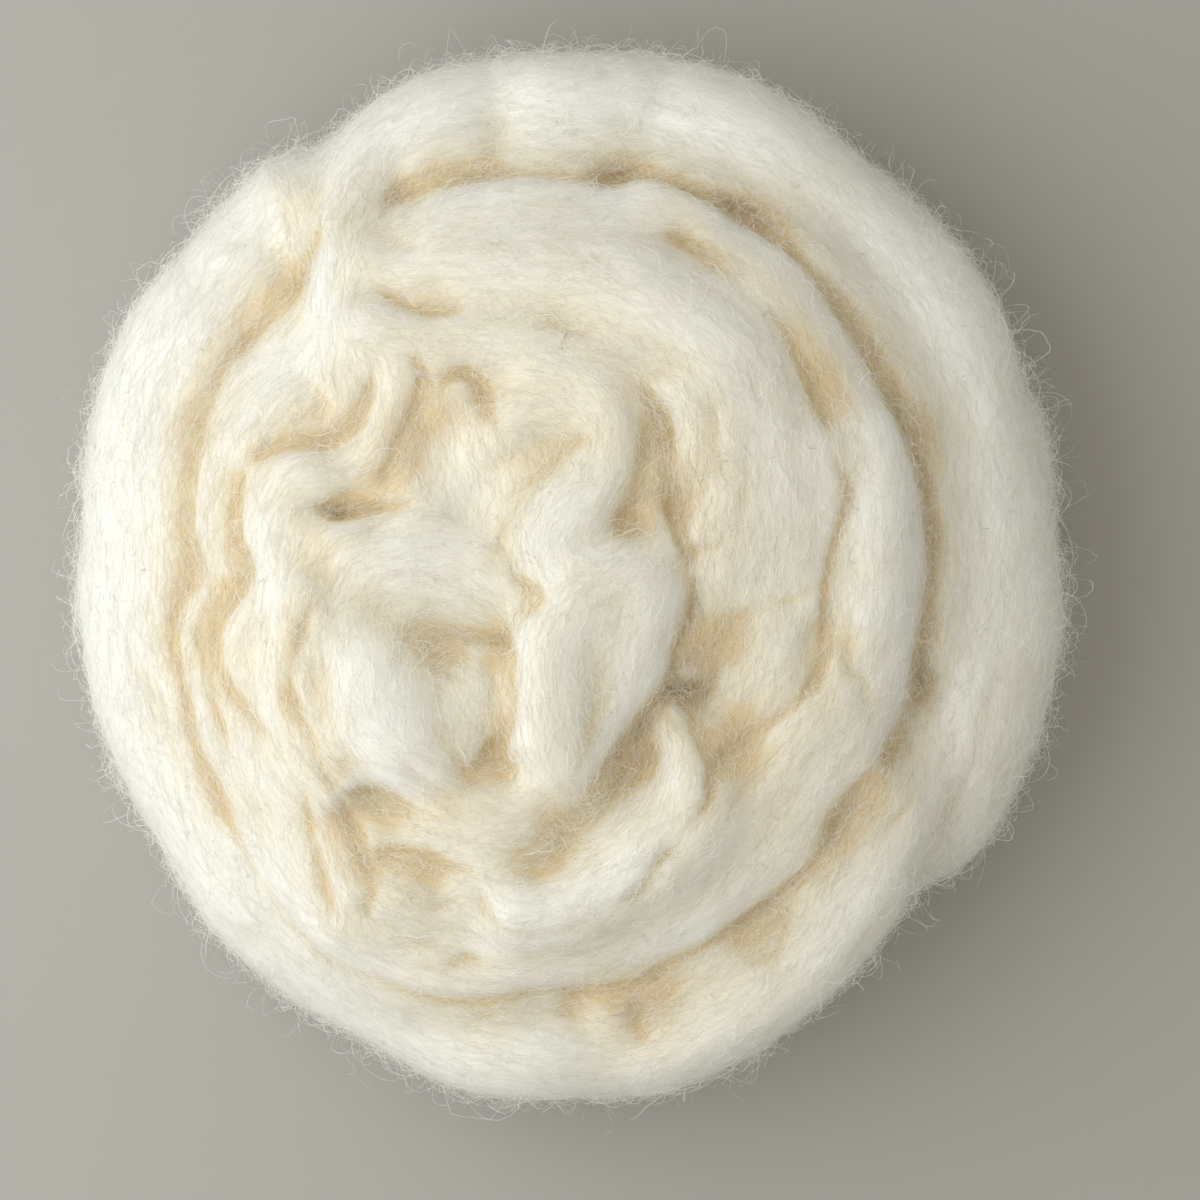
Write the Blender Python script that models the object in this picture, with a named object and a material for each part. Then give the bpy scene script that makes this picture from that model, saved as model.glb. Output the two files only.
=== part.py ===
"""A bun of wool roving: one long, soft, untwisted strand laid round and round into a low heap.

Metres, +Z up. The heap stands on z = 0 with its centre over the origin. +Y is its longest side.
Every visible lap of the strand is a short table with one row for each section along it. The laps are
lofted, melted together into one closed solid as loose wool is, and cut flat where they rest.
"""
import math

import bmesh
import bpy
import numpy as np

MM = 0.001

# How the strand is lofted and melted together
SECTION_SIDES = 20
SECTION_POWER = 2.3        # 2 is an ellipse, more is fuller at the shoulders
ROW_SPACING = 4.0          # mm along a lap, between lofted sections
CAP_ANGLES = (25, 50, 72)  # degrees, the shrinking sections that round a lap's end
MELT_SIZE = 2.0 * MM
SOFTEN_STEPS = 9
KEEP_SHARE = 0.125         # of the faces, after the melt

WOOL_COLOUR = (0.86, 0.80, 0.67, 1.0)

# Columns of every lap table, in mm: x, y, top, half_width, half_height.
# x and y place the middle of the section, top is its highest point, and the rows run along the strand.

# The undermost layer. It starts in the middle as a flat spiral, one pitch wider each turn, and its last
# turn carries the outer laps.
SPIRAL_PITCH = 30.0
SPIRAL_TURNS = 1.75
SPIRAL_END_RADIUS = 58.0
SPIRAL_SECTION = (32, 16, 17.5)  # top, half_width, half_height
SPIRAL_ROWS_PER_TURN = 10
BASE_TURN = (
    (-54, 35, 32, 15, 17.5), (-30, 64, 31, 15, 17), (0, 82, 32, 16, 17.5), (30, 80, 34, 17, 18),
    (55, 66, 32, 16, 17.5), (72, 43, 31, 16, 17), (78, 14, 33, 17, 18), (79, -12, 34, 16.5, 18),
    (70, -35, 32, 16, 17.5), (52, -53, 31, 15, 17), (34, -70, 33, 16, 18), (6, -85, 34, 17, 18),
    (-22, -84, 32, 15.5, 17.5), (-48, -67, 31, 16, 17), (-66, -45, 33, 16, 18),
    (-77, -18, 34, 16.5, 18),
    (-79, 10, 32, 17, 17.5), (-74, 38, 31, 16, 17), (-57, 61, 33, 16.5, 17.5), (-34, 76, 34, 16, 18),
    (-10, 84, 32, 15, 17),
)
# The outer turn over the top and down the right, its start hanging down over the second ring
OUTER_LAP_RIGHT = (
    (-44, 44, 66, 5.0, 12), (-45.5, 57, 67, 5.5, 14), (-44, 70, 63, 7.5, 15), (-38, 81, 58, 10.5, 15),
    (-25, 88, 57, 12.5, 16), (-13, 90, 54.5, 13, 16), (-3, 91.5, 58, 13, 16), (8, 91.5, 58, 13.5, 16),
    (18, 90, 55.5, 13, 16), (28, 87, 58, 13.5, 16), (37, 83, 59, 13.5, 16), (46, 77, 58, 13, 16),
    (56.5, 68, 57, 13.5, 16), (67.5, 56, 57, 14.5, 16), (75, 43, 55, 14, 16), (79, 29, 55, 13, 15.5),
    (80.5, 14, 55, 12.5, 15.5), (80.5, 0, 56, 11.5, 15.5), (79.5, -14, 55, 11, 15.5),
    (77.5, -28, 55, 10.5, 15.5), (73, -40, 53, 9.5, 15), (65, -50, 46, 8.5, 15), (57, -55, 40, 7, 14),
)
# The lower strand that bulges past the outer turn on the right
OUTER_STRAND_RIGHT = (
    (84, 26, 44, 10, 15), (87, 6, 48, 9.5, 15), (88, -11, 49, 9.5, 15), (85, -28, 48, 9.5, 15),
    (80, -41, 47, 9, 14.5), (74, -50, 44, 9, 14.5), (64, -54, 40, 8, 14.5),
)
# The outer turn down the left and along the front
OUTER_LAP_LEFT = (
    (-42, 77, 48, 10, 14.5), (-54, 71, 52, 12, 15), (-64, 62, 54, 12.5, 15.5), (-74, 49, 55, 13, 16),
    (-81, 35, 55, 12.5, 16), (-84.5, 22, 56, 11.5, 16), (-85.5, 8, 56, 11.5, 16),
    (-85.5, -7, 56, 11.5, 16),
    (-83.5, -21, 55, 11, 15.5), (-79.5, -33, 54, 11, 15.5), (-73.5, -46, 53, 10.5, 15.5),
    (-66.5, -57.5, 53, 10.5, 15.5), (-58, -67.5, 54, 10.5, 15.5), (-47.5, -76.5, 54, 10.5, 15.5),
    (-34, -84.5, 53, 10, 15.5), (-20, -91, 54, 10.5, 15.5), (-7, -93, 57, 11, 15.5),
    (6, -93.5, 54, 10, 15.5),
    (18, -91, 49, 9, 15), (30, -85, 43, 8, 16),
)
# The strand that climbs out from under the second ring and crosses the outer turn at the front right
CROSSING_LAP = (
    (11, -94.5, 48, 7, 15), (19, -93, 55, 8.5, 14.5), (30, -88, 58, 9, 15), (41, -80.5, 59, 9, 15),
    (49.5, -71.5, 60, 10, 15), (56.5, -61.5, 61, 10.5, 14.5), (62.5, -51.5, 62, 9.5, 16),
    (67, -43, 61, 7.5, 14), (66, -34, 54, 6, 12),
)
# The second ring, a whole turn from the hanging start round to the back
SECOND_RING = (
    (-38, 53, 58, 9, 16), (-48, 44, 64, 12, 18), (-59, 33, 65, 10.5, 18), (-68, 20, 65, 7.5, 16),
    (-70.5, 8, 65, 6.5, 15), (-70, -2, 64, 6.5, 15), (-72, -12, 64, 6, 15), (-71.5, -22, 63, 6.5, 15),
    (-68.5, -33, 62, 7, 15), (-63, -45, 62, 8.5, 16), (-56, -57, 63, 9, 17), (-46, -68.5, 63, 9, 17),
    (-33, -76, 62, 8, 16), (-19, -78.5, 62, 7.5, 16), (-4, -77, 62, 7.5, 16), (12, -72.5, 64, 9.5, 18),
    (27, -62, 67, 12, 20), (38, -51.5, 69, 13, 21), (47, -40.5, 70, 13, 22), (55, -28.5, 70, 12, 21),
    (60, -15, 69, 11, 20), (62, -1, 69, 10.5, 20), (63, 12, 68, 9, 19), (61.5, 26, 67, 9, 18),
    (57, 38.5, 67, 8, 18), (51, 49.5, 67, 7.5, 18), (44, 59, 67, 7.5, 18), (34, 67, 67, 8, 18),
    (20, 70.5, 67, 9.5, 18), (0, 70, 69, 11, 20), (-20, 68.5, 69, 11, 20), (-36, 63, 65, 9, 18),
)
# The broad lap over the back and right of the middle, its tail, and the fold along its inner edge
BROAD_LAP = (
    (-35, 57, 70, 8, 15), (-22, 58, 74, 10, 18), (-2, 57, 77, 12.5, 20), (16, 53, 79, 13, 20),
    (29, 44, 79, 13.5, 20), (36, 31, 78, 14, 20), (38, 16, 78, 14, 20), (37, 4, 75, 12.5, 19),
)
BROAD_LAP_TAIL = (
    (42, 2, 70, 8, 15), (40.5, -10, 73, 10, 17), (37.5, -20, 73, 9.5, 16), (34, -28, 69, 7, 14),
)
BROAD_LAP_FOLD = (
    (-41, 50, 68, 4.5, 9), (-33, 47.5, 75, 5, 9), (-20, 46, 77, 5.5, 10), (-5, 45, 77, 6, 10),
    (9, 42, 77, 6, 10), (20, 36, 74, 6, 10),
)
# The third turn, which shows only on the left and starts with a hook round the deepest hollow
THIRD_TURN = (
    (-38, 49, 66, 5, 10), (-35.5, 39, 73, 5, 9), (-37, 29, 74, 6, 10), (-44, 22.5, 73, 6, 9),
    (-54, 21, 72, 6, 10), (-60, 14, 71, 6, 10), (-60.5, 5, 70, 6.5, 11), (-59, -3, 70, 6, 11),
    (-61.5, -12, 70, 7, 12), (-60.5, -23, 69, 7.5, 13), (-57.5, -35, 69, 7.5, 13),
    (-51, -46, 70, 6.5, 12),
    (-47.5, -56, 69, 6, 12), (-43.5, -67, 66, 6, 11),
)
# The S that runs down the middle, with the soft swell inside its bend
MIDDLE_S = (
    (-14, 37, 74, 4.5, 9), (-4, 37, 79, 6.5, 11), (5, 34, 81, 7.5, 12), (8.5, 27, 82, 7, 12),
    (6, 19, 82, 8, 12), (0.5, 12, 82, 9, 12), (-2, 5.5, 82, 9.5, 12), (4, -0.5, 81, 9, 12),
    (13, -4, 77, 9, 12),
)
MIDDLE_S_SWELL = ((-9, 30, 70, 6, 10), (-5, 24, 72, 7, 11), (-3, 16, 74, 7, 11))
BACK_SWELL = (
    (-22, 33, 70, 6.5, 12), (-21, 26, 74, 10, 14), (-18.5, 16, 74, 12, 14), (-16, 6, 73, 12, 14),
    (-13, -3, 70, 9, 12),
)
# The bowl left of the middle: its curled rim, its floor and the lobe across it
BOWL_RIM = (
    (-13, -4, 73, 6, 11), (-22, 1.5, 77, 8, 12), (-32, 2, 79, 9.5, 13), (-41, -1, 80, 10.5, 14),
    (-44, -9, 80, 10.5, 14), (-42.5, -18, 80, 11, 15), (-41, -27, 80, 11, 15), (-36, -33, 80, 10.5, 14),
    (-30, -37, 79, 8, 12), (-21, -42, 78, 7, 12), (-12, -44, 77, 7.5, 12), (-6, -40, 77, 7, 11),
    (-7, -33, 77, 5, 11),
)
BOWL_FLOOR = (
    (-18, -11, 73, 6, 10), (-30, -11, 75.5, 8, 12), (-34, -22, 79, 10, 14), (-32, -32, 79, 9, 13),
)
BOWL_LOBE = (
    (-26, -18, 77, 6, 11), (-20, -20, 78.5, 8, 12), (-18.5, -26, 77, 8, 12), (-18.5, -32, 74.5, 7, 11),
)
# The tongue in the middle, a ridge on its left and a slope on its right
TONGUE_RIDGE = (
    (10, 0, 81, 8, 12), (0, -7, 84, 7.5, 12), (-3.5, -16, 84, 7.5, 12), (-3, -26, 83, 7.5, 12),
    (-1, -35, 80, 6.5, 11), (0.5, -42, 75, 4.5, 9),
)
TONGUE_SLOPE = (
    (16, 1, 78, 9, 12), (13, -8, 81, 11, 13), (9, -18, 81, 11, 13), (5.5, -28, 79, 9, 12),
    (3.5, -37, 75, 6, 10),
)
# The strand that curls round below the tongue, and the matted wool between them
INNER_STRAND = (
    (19, -26, 68, 4, 9), (23.5, -34, 72, 5, 10), (22.5, -43, 74, 7, 12), (14.5, -53, 73, 8.5, 12),
    (3.5, -61.5, 71, 8, 12), (-8, -65.5, 69, 6, 11), (-15, -63, 66, 4, 9),
)
MATTED_WOOL = ((13, -36, 67, 6, 10), (8, -45, 70, 8, 12), (-2, -50, 72, 8.5, 12), (-12, -55, 70, 6, 12))
# The small folds at the front left, and in the pocket behind the hanging start
FRONT_RIDGE = (
    (-43, -42, 67, 5, 9), (-38, -48, 71, 5, 10), (-29, -49.5, 74, 6, 11), (-19, -50, 75, 6, 11),
    (-10, -50, 73, 6, 11),
)
FRONT_KNOBS = (
    (-41, -59, 66, 5, 9), (-32.5, -61.5, 71, 6.5, 11), (-27, -63.5, 68, 5, 10), (-20, -61, 70.5, 6.5, 11),
    (-14, -66, 67, 5, 10),
)
FRONT_BASIN = ((-36, -69, 62, 6, 10), (-25, -70, 63, 6, 10), (-14, -71, 62, 6, 10))
POCKET_FOLD = (
    (-57, 77, 48, 5, 12), (-53.5, 74, 53, 4.5, 12), (-50, 65, 56, 4.5, 12), (-51, 56, 56, 4, 12),
)
MIDDLE_WISP = ((21, 36, 70, 5, 9), (21.5, 22, 73, 5, 9), (22, 9, 72, 5, 9))
SUNK_LOBE = ((27.5, -3, 72, 4.5, 10), (27.5, -11, 73, 6, 11), (25, -17, 70, 5.5, 10))

# The slopes of wool beside the laps, where the strand lies pressed against its own last turn
RING_SLOPE = (
    (29, 65, 66, 5, 14), (38, 57, 69, 6, 14), (46, 47, 68, 6, 14), (52, 35, 67, 6, 14),
    (56, 22, 67, 6, 14), (57, 10, 67, 6, 14), (55, -2, 67, 6, 14), (53, -14, 67, 6, 14),
    (49, -24, 68, 6, 14), (42, -33, 68, 6, 14), (34, -42, 68, 6, 14), (27, -51, 68, 6, 14),
    (20.5, -58, 68, 5, 13), (14, -65, 65, 5, 12), (4, -71, 62, 5, 12), (-8, -73, 61, 5, 11),
)
INNER_SLOPE = ((29, -32, 68, 4, 9), (28, -39, 69, 4, 9), (25.5, -47, 70, 5, 10), (19, -54, 70, 6, 11))
OUTER_SLOPE_RIGHT = (
    (-26, 80, 57, 6, 12), (0, 81, 59, 6, 12), (24, 77, 60, 6, 12), (45, 66, 60, 6, 12),
    (61, 47, 59, 6, 12), (70, 28, 58, 6, 12), (73, 8, 58, 6, 12), (72, -12, 58, 6, 12),
)
OUTER_SLOPE_LEFT = (
    (-60, 55, 56, 6, 12), (-69, 43, 58, 6, 12), (-75.5, 30, 58, 6, 12), (-77.5, 16, 58, 6, 12),
    (-78, 2, 58, 6, 12), (-78.5, -12, 57, 6, 12), (-76, -26, 57, 6, 12), (-71, -39, 56, 6, 12),
    (-64, -51, 56, 6, 12), (-55, -63, 56, 6, 12), (-45, -73, 56, 6, 12), (-31, -80, 56, 6, 12),
    (-15, -84, 56, 6, 12),
)
FRONT_SLOPE_RIGHT = (
    (61, -42, 60, 5, 12), (52, -54, 60, 5, 12), (43, -65, 59, 6, 12), (34, -73.5, 58, 6, 12),
    (23, -80, 57, 6, 12), (9, -84, 57, 5, 12),
)
FRONT_LEFT_FLOOR = ((-46, -42, 68, 5, 10), (-42, -51, 69, 5, 10), (-39, -60, 67, 5, 10))
HOOK_SLOPE = (
    (-41, 46, 71, 6, 12), (-44, 38, 73, 7, 13), (-44, 32, 72, 6, 12), (-52, 31, 71, 7, 13),
    (-61, 25, 67, 5, 11),
)
HOOK_SIDE_FLOOR = ((-31, 40, 71, 4, 9), (-32, 31, 72, 4, 9), (-34.5, 22, 72, 4, 9))
HOOK_FLOOR = ((-53, 14, 68, 5, 10), (-44, 16, 69, 5, 10), (-36, 14, 71, 5, 10), (-30, 13, 73, 6, 11))
BOWL_DISH = (
    (-25, -2, 75, 8, 12), (-33, -4, 75.5, 9, 13), (-36, -11, 76, 9, 13), (-38, -20, 79, 10, 14),
    (-36, -29, 80, 11, 14), (-28, -34, 77, 8, 12),
)
BOWL_SLOPE = (
    (-46, 7, 75, 5, 10), (-53, 4, 72, 5, 10), (-53.5, -2, 71, 5, 10), (-53, -9, 69, 4, 10),
    (-54.5, -20, 69, 4, 10), (-52, -31, 69, 4, 10), (-46, -41, 67, 4, 10),
)
FRONT_SLOPE = (
    (-42, -54, 64, 4, 10), (-33, -55.5, 67, 5, 10), (-24, -57, 68, 5, 10), (-14, -58, 67, 5, 10),
)
ARCH_FLOOR = ((-29, 40, 73, 5, 10), (-23, 37, 76, 6, 11), (-18, 33, 75, 6, 11), (-15, 27, 76, 6, 11))
BACK_SWELL_SLOPE = (
    (-10, 29, 78, 7, 11), (-2, 27, 78, 7, 11), (-5, 21, 79, 7, 11), (-9, 12, 77, 6, 11),
    (-13, 2, 76, 6, 11),
)
MIDDLE_WISP_SLOPE = ((18.5, 36, 75, 4, 9), (20.5, 26, 75, 4, 9), (17, 15, 76, 5, 10), (21.5, 8, 73, 4, 9))
BROAD_LAP_SLOPE = ((27, 36, 76, 5, 10), (29, 26, 77, 5, 10), (30, 15, 76, 5, 10), (30, 5, 74, 5, 10))

VISIBLE_LAPS = (
    OUTER_LAP_RIGHT, OUTER_STRAND_RIGHT, OUTER_LAP_LEFT, CROSSING_LAP, SECOND_RING,
    BROAD_LAP, BROAD_LAP_TAIL, BROAD_LAP_FOLD, THIRD_TURN, MIDDLE_S, MIDDLE_S_SWELL, BACK_SWELL,
    BOWL_RIM, BOWL_FLOOR, BOWL_LOBE, TONGUE_RIDGE, TONGUE_SLOPE, INNER_STRAND, MATTED_WOOL,
    FRONT_RIDGE, FRONT_KNOBS, FRONT_BASIN, POCKET_FOLD, MIDDLE_WISP, SUNK_LOBE,
)

LAP_SLOPES = (
    RING_SLOPE, INNER_SLOPE, OUTER_SLOPE_RIGHT, OUTER_SLOPE_LEFT, FRONT_SLOPE_RIGHT, FRONT_LEFT_FLOOR,
    HOOK_SLOPE, HOOK_SIDE_FLOOR, HOOK_FLOOR, ARCH_FLOOR, BOWL_DISH, BOWL_SLOPE, FRONT_SLOPE,
    BACK_SWELL_SLOPE, MIDDLE_WISP_SLOPE, BROAD_LAP_SLOPE,
)

# The wool underneath, which fills the heap between the laps: x, y, top, radius, half_height, in mm
FILLINGS = ((-2, -2, 66, 54, 30), (0, 0, 56, 70, 24))
FILLING_POWER = 4.0
FILLING_SIDES = 48
FILLING_LEVELS = 24


def clear_scene():
    for ob in list(bpy.data.objects):
        bpy.data.objects.remove(ob, do_unlink=True)


def wool_material():
    mat = bpy.data.materials.new("wool")
    mat.use_nodes = True
    shader = mat.node_tree.nodes["Principled BSDF"]
    shader.inputs["Base Color"].default_value = WOOL_COLOUR
    shader.inputs["Roughness"].default_value = 0.9
    shader.inputs["Metallic"].default_value = 0.0
    shader.inputs["Sheen Weight"].default_value = 0.3
    return mat


def smooth_rows(rows):
    """The rows of a lap, joined by a smooth curve and read again about every ROW_SPACING."""
    rows = np.array(rows, dtype=float)
    last = len(rows) - 1
    out = []
    for i in range(last):
        a, b, c, d = rows[max(i - 1, 0)], rows[i], rows[i + 1], rows[min(i + 2, last)]
        steps = max(1, round(float(np.hypot(*(c - b)[:2])) / ROW_SPACING))
        for k in range(steps):
            t = k / steps
            out.append(
                0.5 * (2 * b + (c - a) * t + (2 * a - 5 * b + 4 * c - d) * t**2
                       + (3 * b - 3 * c + d - a) * t**3)
            )
    out.append(rows[-1])
    return np.array(out)


def base_lap():
    """The spiral in the middle of the underside, running on into the last turn of the base."""
    rows = []
    count = round(SPIRAL_TURNS * SPIRAL_ROWS_PER_TURN)
    for i in range(count):
        turns_left = SPIRAL_TURNS * (1 - i / count)
        radius = SPIRAL_END_RADIUS - SPIRAL_PITCH * turns_left
        angle = math.pi + 2 * math.pi * turns_left
        rows.append((radius * math.cos(angle), radius * math.sin(angle), *SPIRAL_SECTION))
    return (*rows, *BASE_TURN)


def power_curve(angle, power):
    """A point of the unit curve |u|^power + |v|^power = 1."""
    c, s = math.cos(angle), math.sin(angle)
    return math.copysign(abs(c) ** (2 / power), c), math.copysign(abs(s) ** (2 / power), s)


def section(bm, row, along, shrink=1.0, ahead=0.0):
    """One closed section of a lap: across the strand sideways, and up and down."""
    x, y, top, half_width, half_height = row
    side = np.array((-along[1], along[0]))
    middle = np.array((x, y)) + along * ahead * half_width
    ring = []
    for i in range(SECTION_SIDES):
        u, v = power_curve(2 * math.pi * i / SECTION_SIDES, SECTION_POWER)
        px, py = middle + side * (u * half_width * shrink)
        pz = top - half_height + v * half_height * shrink
        ring.append(bm.verts.new((px * MM, py * MM, pz * MM)))
    return ring


def bridge(bm, ring_a, ring_b):
    count = len(ring_a)
    for i in range(count):
        j = (i + 1) % count
        bm.faces.new((ring_a[i], ring_b[i], ring_b[j], ring_a[j]))


def add_lap(bm, rows):
    """Lofts one lap of the strand, with a rounded end at each side."""
    rows = smooth_rows(rows)
    along = np.gradient(rows[:, :2], axis=0)
    along /= np.linalg.norm(along, axis=1)[:, None]
    caps = [(math.cos(math.radians(a)), math.sin(math.radians(a))) for a in CAP_ANGLES]
    head = [section(bm, rows[0], along[0], shrink, -ahead) for shrink, ahead in reversed(caps)]
    tail = [section(bm, rows[-1], along[-1], shrink, ahead) for shrink, ahead in caps]
    rings = head + [section(bm, row, direction) for row, direction in zip(rows, along)] + tail
    bm.faces.new(rings[0])
    bm.faces.new(reversed(rings[-1]))
    for ring_a, ring_b in zip(rings, rings[1:]):
        bridge(bm, ring_a, ring_b)


def add_filling(bm, x, y, top, radius, half_height):
    """A low round body of wool, turned about its upright axis."""
    rings = []
    for level in range(1, FILLING_LEVELS):
        r, h = power_curve(math.pi * (level / FILLING_LEVELS - 0.5), FILLING_POWER)
        ring = []
        for i in range(FILLING_SIDES):
            a = 2 * math.pi * i / FILLING_SIDES
            px, py = x + radius * r * math.cos(a), y + radius * r * math.sin(a)
            pz = top - half_height + half_height * h
            ring.append(bm.verts.new((px * MM, py * MM, pz * MM)))
        rings.append(ring)
    bm.faces.new(reversed(rings[0]))
    bm.faces.new(rings[-1])
    for ring_a, ring_b in zip(rings, rings[1:]):
        bridge(bm, ring_b, ring_a)


def ground_cutter():
    """A guide block under the heap. What it takes away leaves the flat that the wool rests on."""
    bpy.ops.mesh.primitive_cube_add(size=0.4, location=(0, 0, -0.2))
    cutter = bpy.context.object
    cutter.name = "ground_cutter"
    cutter.display_type = "WIRE"
    cutter.hide_render = True
    return cutter


def melt_and_cut(ob, cutter):
    """Melts the overlapping laps into one skin, softens it, thins it out and cuts its foot flat."""
    melt = ob.modifiers.new("melt", "REMESH")
    melt.mode = "VOXEL"
    melt.voxel_size = MELT_SIZE
    soften = ob.modifiers.new("soften", "SMOOTH")
    soften.factor = 0.5
    soften.iterations = SOFTEN_STEPS
    thin = ob.modifiers.new("thin", "DECIMATE")
    thin.ratio = KEEP_SHARE
    foot = ob.modifiers.new("foot", "BOOLEAN")
    foot.operation = "DIFFERENCE"
    foot.solver = "EXACT"
    foot.object = cutter


def wound_roving():
    bm = bmesh.new()
    for rows in (base_lap(), *VISIBLE_LAPS, *LAP_SLOPES):
        add_lap(bm, rows)
    for filling in FILLINGS:
        add_filling(bm, *filling)
    bmesh.ops.recalc_face_normals(bm, faces=bm.faces)
    mesh = bpy.data.meshes.new("wound_roving")
    bm.to_mesh(mesh)
    bm.free()
    mesh.shade_smooth()
    mesh.materials.append(wool_material())
    ob = bpy.data.objects.new("wound_roving", mesh)
    bpy.context.scene.collection.objects.link(ob)
    return ob


def main():
    clear_scene()
    melt_and_cut(wound_roving(), ground_cutter())


main()
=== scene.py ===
"""The wool roving as it looks: a skin over the melted laps, and the wool's fibres combed along them."""
import math
from typing import NamedTuple

import bpy
import numpy as np
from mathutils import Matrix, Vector


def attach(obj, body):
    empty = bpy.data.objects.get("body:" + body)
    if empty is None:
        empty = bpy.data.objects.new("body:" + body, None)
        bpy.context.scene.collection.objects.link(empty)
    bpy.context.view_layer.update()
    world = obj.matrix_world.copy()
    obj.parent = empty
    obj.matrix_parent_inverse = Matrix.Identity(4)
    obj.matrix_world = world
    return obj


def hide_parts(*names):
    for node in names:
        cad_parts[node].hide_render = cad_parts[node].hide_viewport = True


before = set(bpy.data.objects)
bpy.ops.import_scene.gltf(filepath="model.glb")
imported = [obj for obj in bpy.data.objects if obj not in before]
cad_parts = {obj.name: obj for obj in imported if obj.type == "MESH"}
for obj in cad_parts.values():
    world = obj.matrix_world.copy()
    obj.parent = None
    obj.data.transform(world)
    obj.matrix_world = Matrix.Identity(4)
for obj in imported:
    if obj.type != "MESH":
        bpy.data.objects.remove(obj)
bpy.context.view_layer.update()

MM = 0.001

# Columns of every lap table, in mm: x, y, top, half_width, half_height, as in the solid. In these tables and
# in the creases', a row that leaves out its last columns has those of the row before.

# The undermost layer. It starts in the middle as a flat spiral, one pitch wider each turn, and its last
# turn carries the outer laps.
SPIRAL_PITCH = 30.0
SPIRAL_TURNS = 1.75
SPIRAL_END_RADIUS = 58.0
SPIRAL_SECTION = (32, 16, 17.5)  # top, half_width, half_height
SPIRAL_ROWS_PER_TURN = 10
BASE_TURN = (
    (-54, 35, 32, 15, 17.5), (-30, 64, 31, 15, 17), (0, 82, 32, 16, 17.5), (30, 80, 34, 17, 18),
    (55, 66, 32, 16, 17.5), (72, 43, 31, 16, 17), (78, 14, 33, 17, 18), (79, -12, 34, 16.5),
    (70, -35, 32, 16, 17.5), (52, -53, 31, 15, 17), (34, -70, 33, 16, 18), (6, -85, 34, 17),
    (-22, -84, 32, 15.5, 17.5), (-48, -67, 31, 16, 17), (-66, -45, 33, 16, 18), (-77, -18, 34, 16.5),
    (-79, 10, 32, 17, 17.5), (-74, 38, 31, 16, 17), (-57, 61, 33, 16.5, 17.5), (-34, 76, 34, 16, 18),
    (-10, 84, 32, 15, 17),
)
# The outer turn over the top and down the right, its start hanging down over the second ring
OUTER_LAP_RIGHT = (
    (-44, 44, 66, 5, 12), (-45.5, 57, 67, 5.5, 14), (-44, 70, 63, 7.5, 15), (-38, 81, 58, 10.5),
    (-25, 88, 57, 12.5, 16), (-13, 90, 54.5, 13), (-3, 91.5, 58), (8, 91.5, 58, 13.5), (18, 90, 55.5, 13),
    (28, 87, 58, 13.5), (37, 83, 59), (46, 77, 58, 13), (56.5, 68, 57, 13.5), (67.5, 56, 57, 14.5),
    (75, 43, 55, 14), (79, 29, 55, 13, 15.5), (80.5, 14, 55, 12.5), (80.5, 0, 56, 11.5),
    (79.5, -14, 55, 11), (77.5, -28, 55, 10.5), (73, -40, 53, 9.5, 15), (65, -50, 46, 8.5),
    (57, -55, 40, 7, 14),
)
# The lower strand that bulges past the outer turn on the right
OUTER_STRAND_RIGHT = (
    (84, 26, 44, 10, 15), (87, 6, 48, 9.5), (88, -11, 49), (85, -28, 48), (80, -41, 47, 9, 14.5),
    (74, -50, 44), (64, -54, 40, 8),
)
# The outer turn down the left and along the front
OUTER_LAP_LEFT = (
    (-42, 77, 48, 10, 14.5), (-54, 71, 52, 12, 15), (-64, 62, 54, 12.5, 15.5), (-74, 49, 55, 13, 16),
    (-81, 35, 55, 12.5), (-84.5, 22, 56, 11.5), (-85.5, 8), (-85.5, -7), (-83.5, -21, 55, 11, 15.5),
    (-79.5, -33, 54), (-73.5, -46, 53, 10.5), (-66.5, -57.5), (-58, -67.5, 54), (-47.5, -76.5),
    (-34, -84.5, 53, 10), (-20, -91, 54, 10.5), (-7, -93, 57, 11), (6, -93.5, 54, 10), (18, -91, 49, 9, 15),
    (30, -85, 43, 8, 16),
)
# The strand that climbs out from under the second ring and crosses the outer turn at the front right
CROSSING_LAP = (
    (11, -94.5, 48, 7, 15), (19, -93, 55, 8.5, 14.5), (30, -88, 58, 9, 15), (41, -80.5, 59),
    (49.5, -71.5, 60, 10), (56.5, -61.5, 61, 10.5, 14.5), (62.5, -51.5, 62, 9.5, 16),
    (67, -43, 61, 7.5, 14), (66, -34, 54, 6, 12),
)
# The second ring, a whole turn from the hanging start round to the back
SECOND_RING = (
    (-38, 53, 58, 9, 16), (-48, 44, 64, 12, 18), (-59, 33, 65, 10.5), (-68, 20, 65, 7.5, 16),
    (-70.5, 8, 65, 6.5, 15), (-70, -2, 64), (-72, -12, 64, 6), (-71.5, -22, 63, 6.5), (-68.5, -33, 62, 7),
    (-63, -45, 62, 8.5, 16), (-56, -57, 63, 9, 17), (-46, -68.5), (-33, -76, 62, 8, 16),
    (-19, -78.5, 62, 7.5), (-4, -77), (12, -72.5, 64, 9.5, 18), (27, -62, 67, 12, 20),
    (38, -51.5, 69, 13, 21), (47, -40.5, 70, 13, 22), (55, -28.5, 70, 12, 21), (60, -15, 69, 11, 20),
    (62, -1, 69, 10.5), (63, 12, 68, 9, 19), (61.5, 26, 67, 9, 18), (57, 38.5, 67, 8), (51, 49.5, 67, 7.5),
    (44, 59), (34, 67, 67, 8), (20, 70.5, 67, 9.5), (0, 70, 69, 11, 20), (-20, 68.5), (-36, 63, 65, 9, 18),
)
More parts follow.
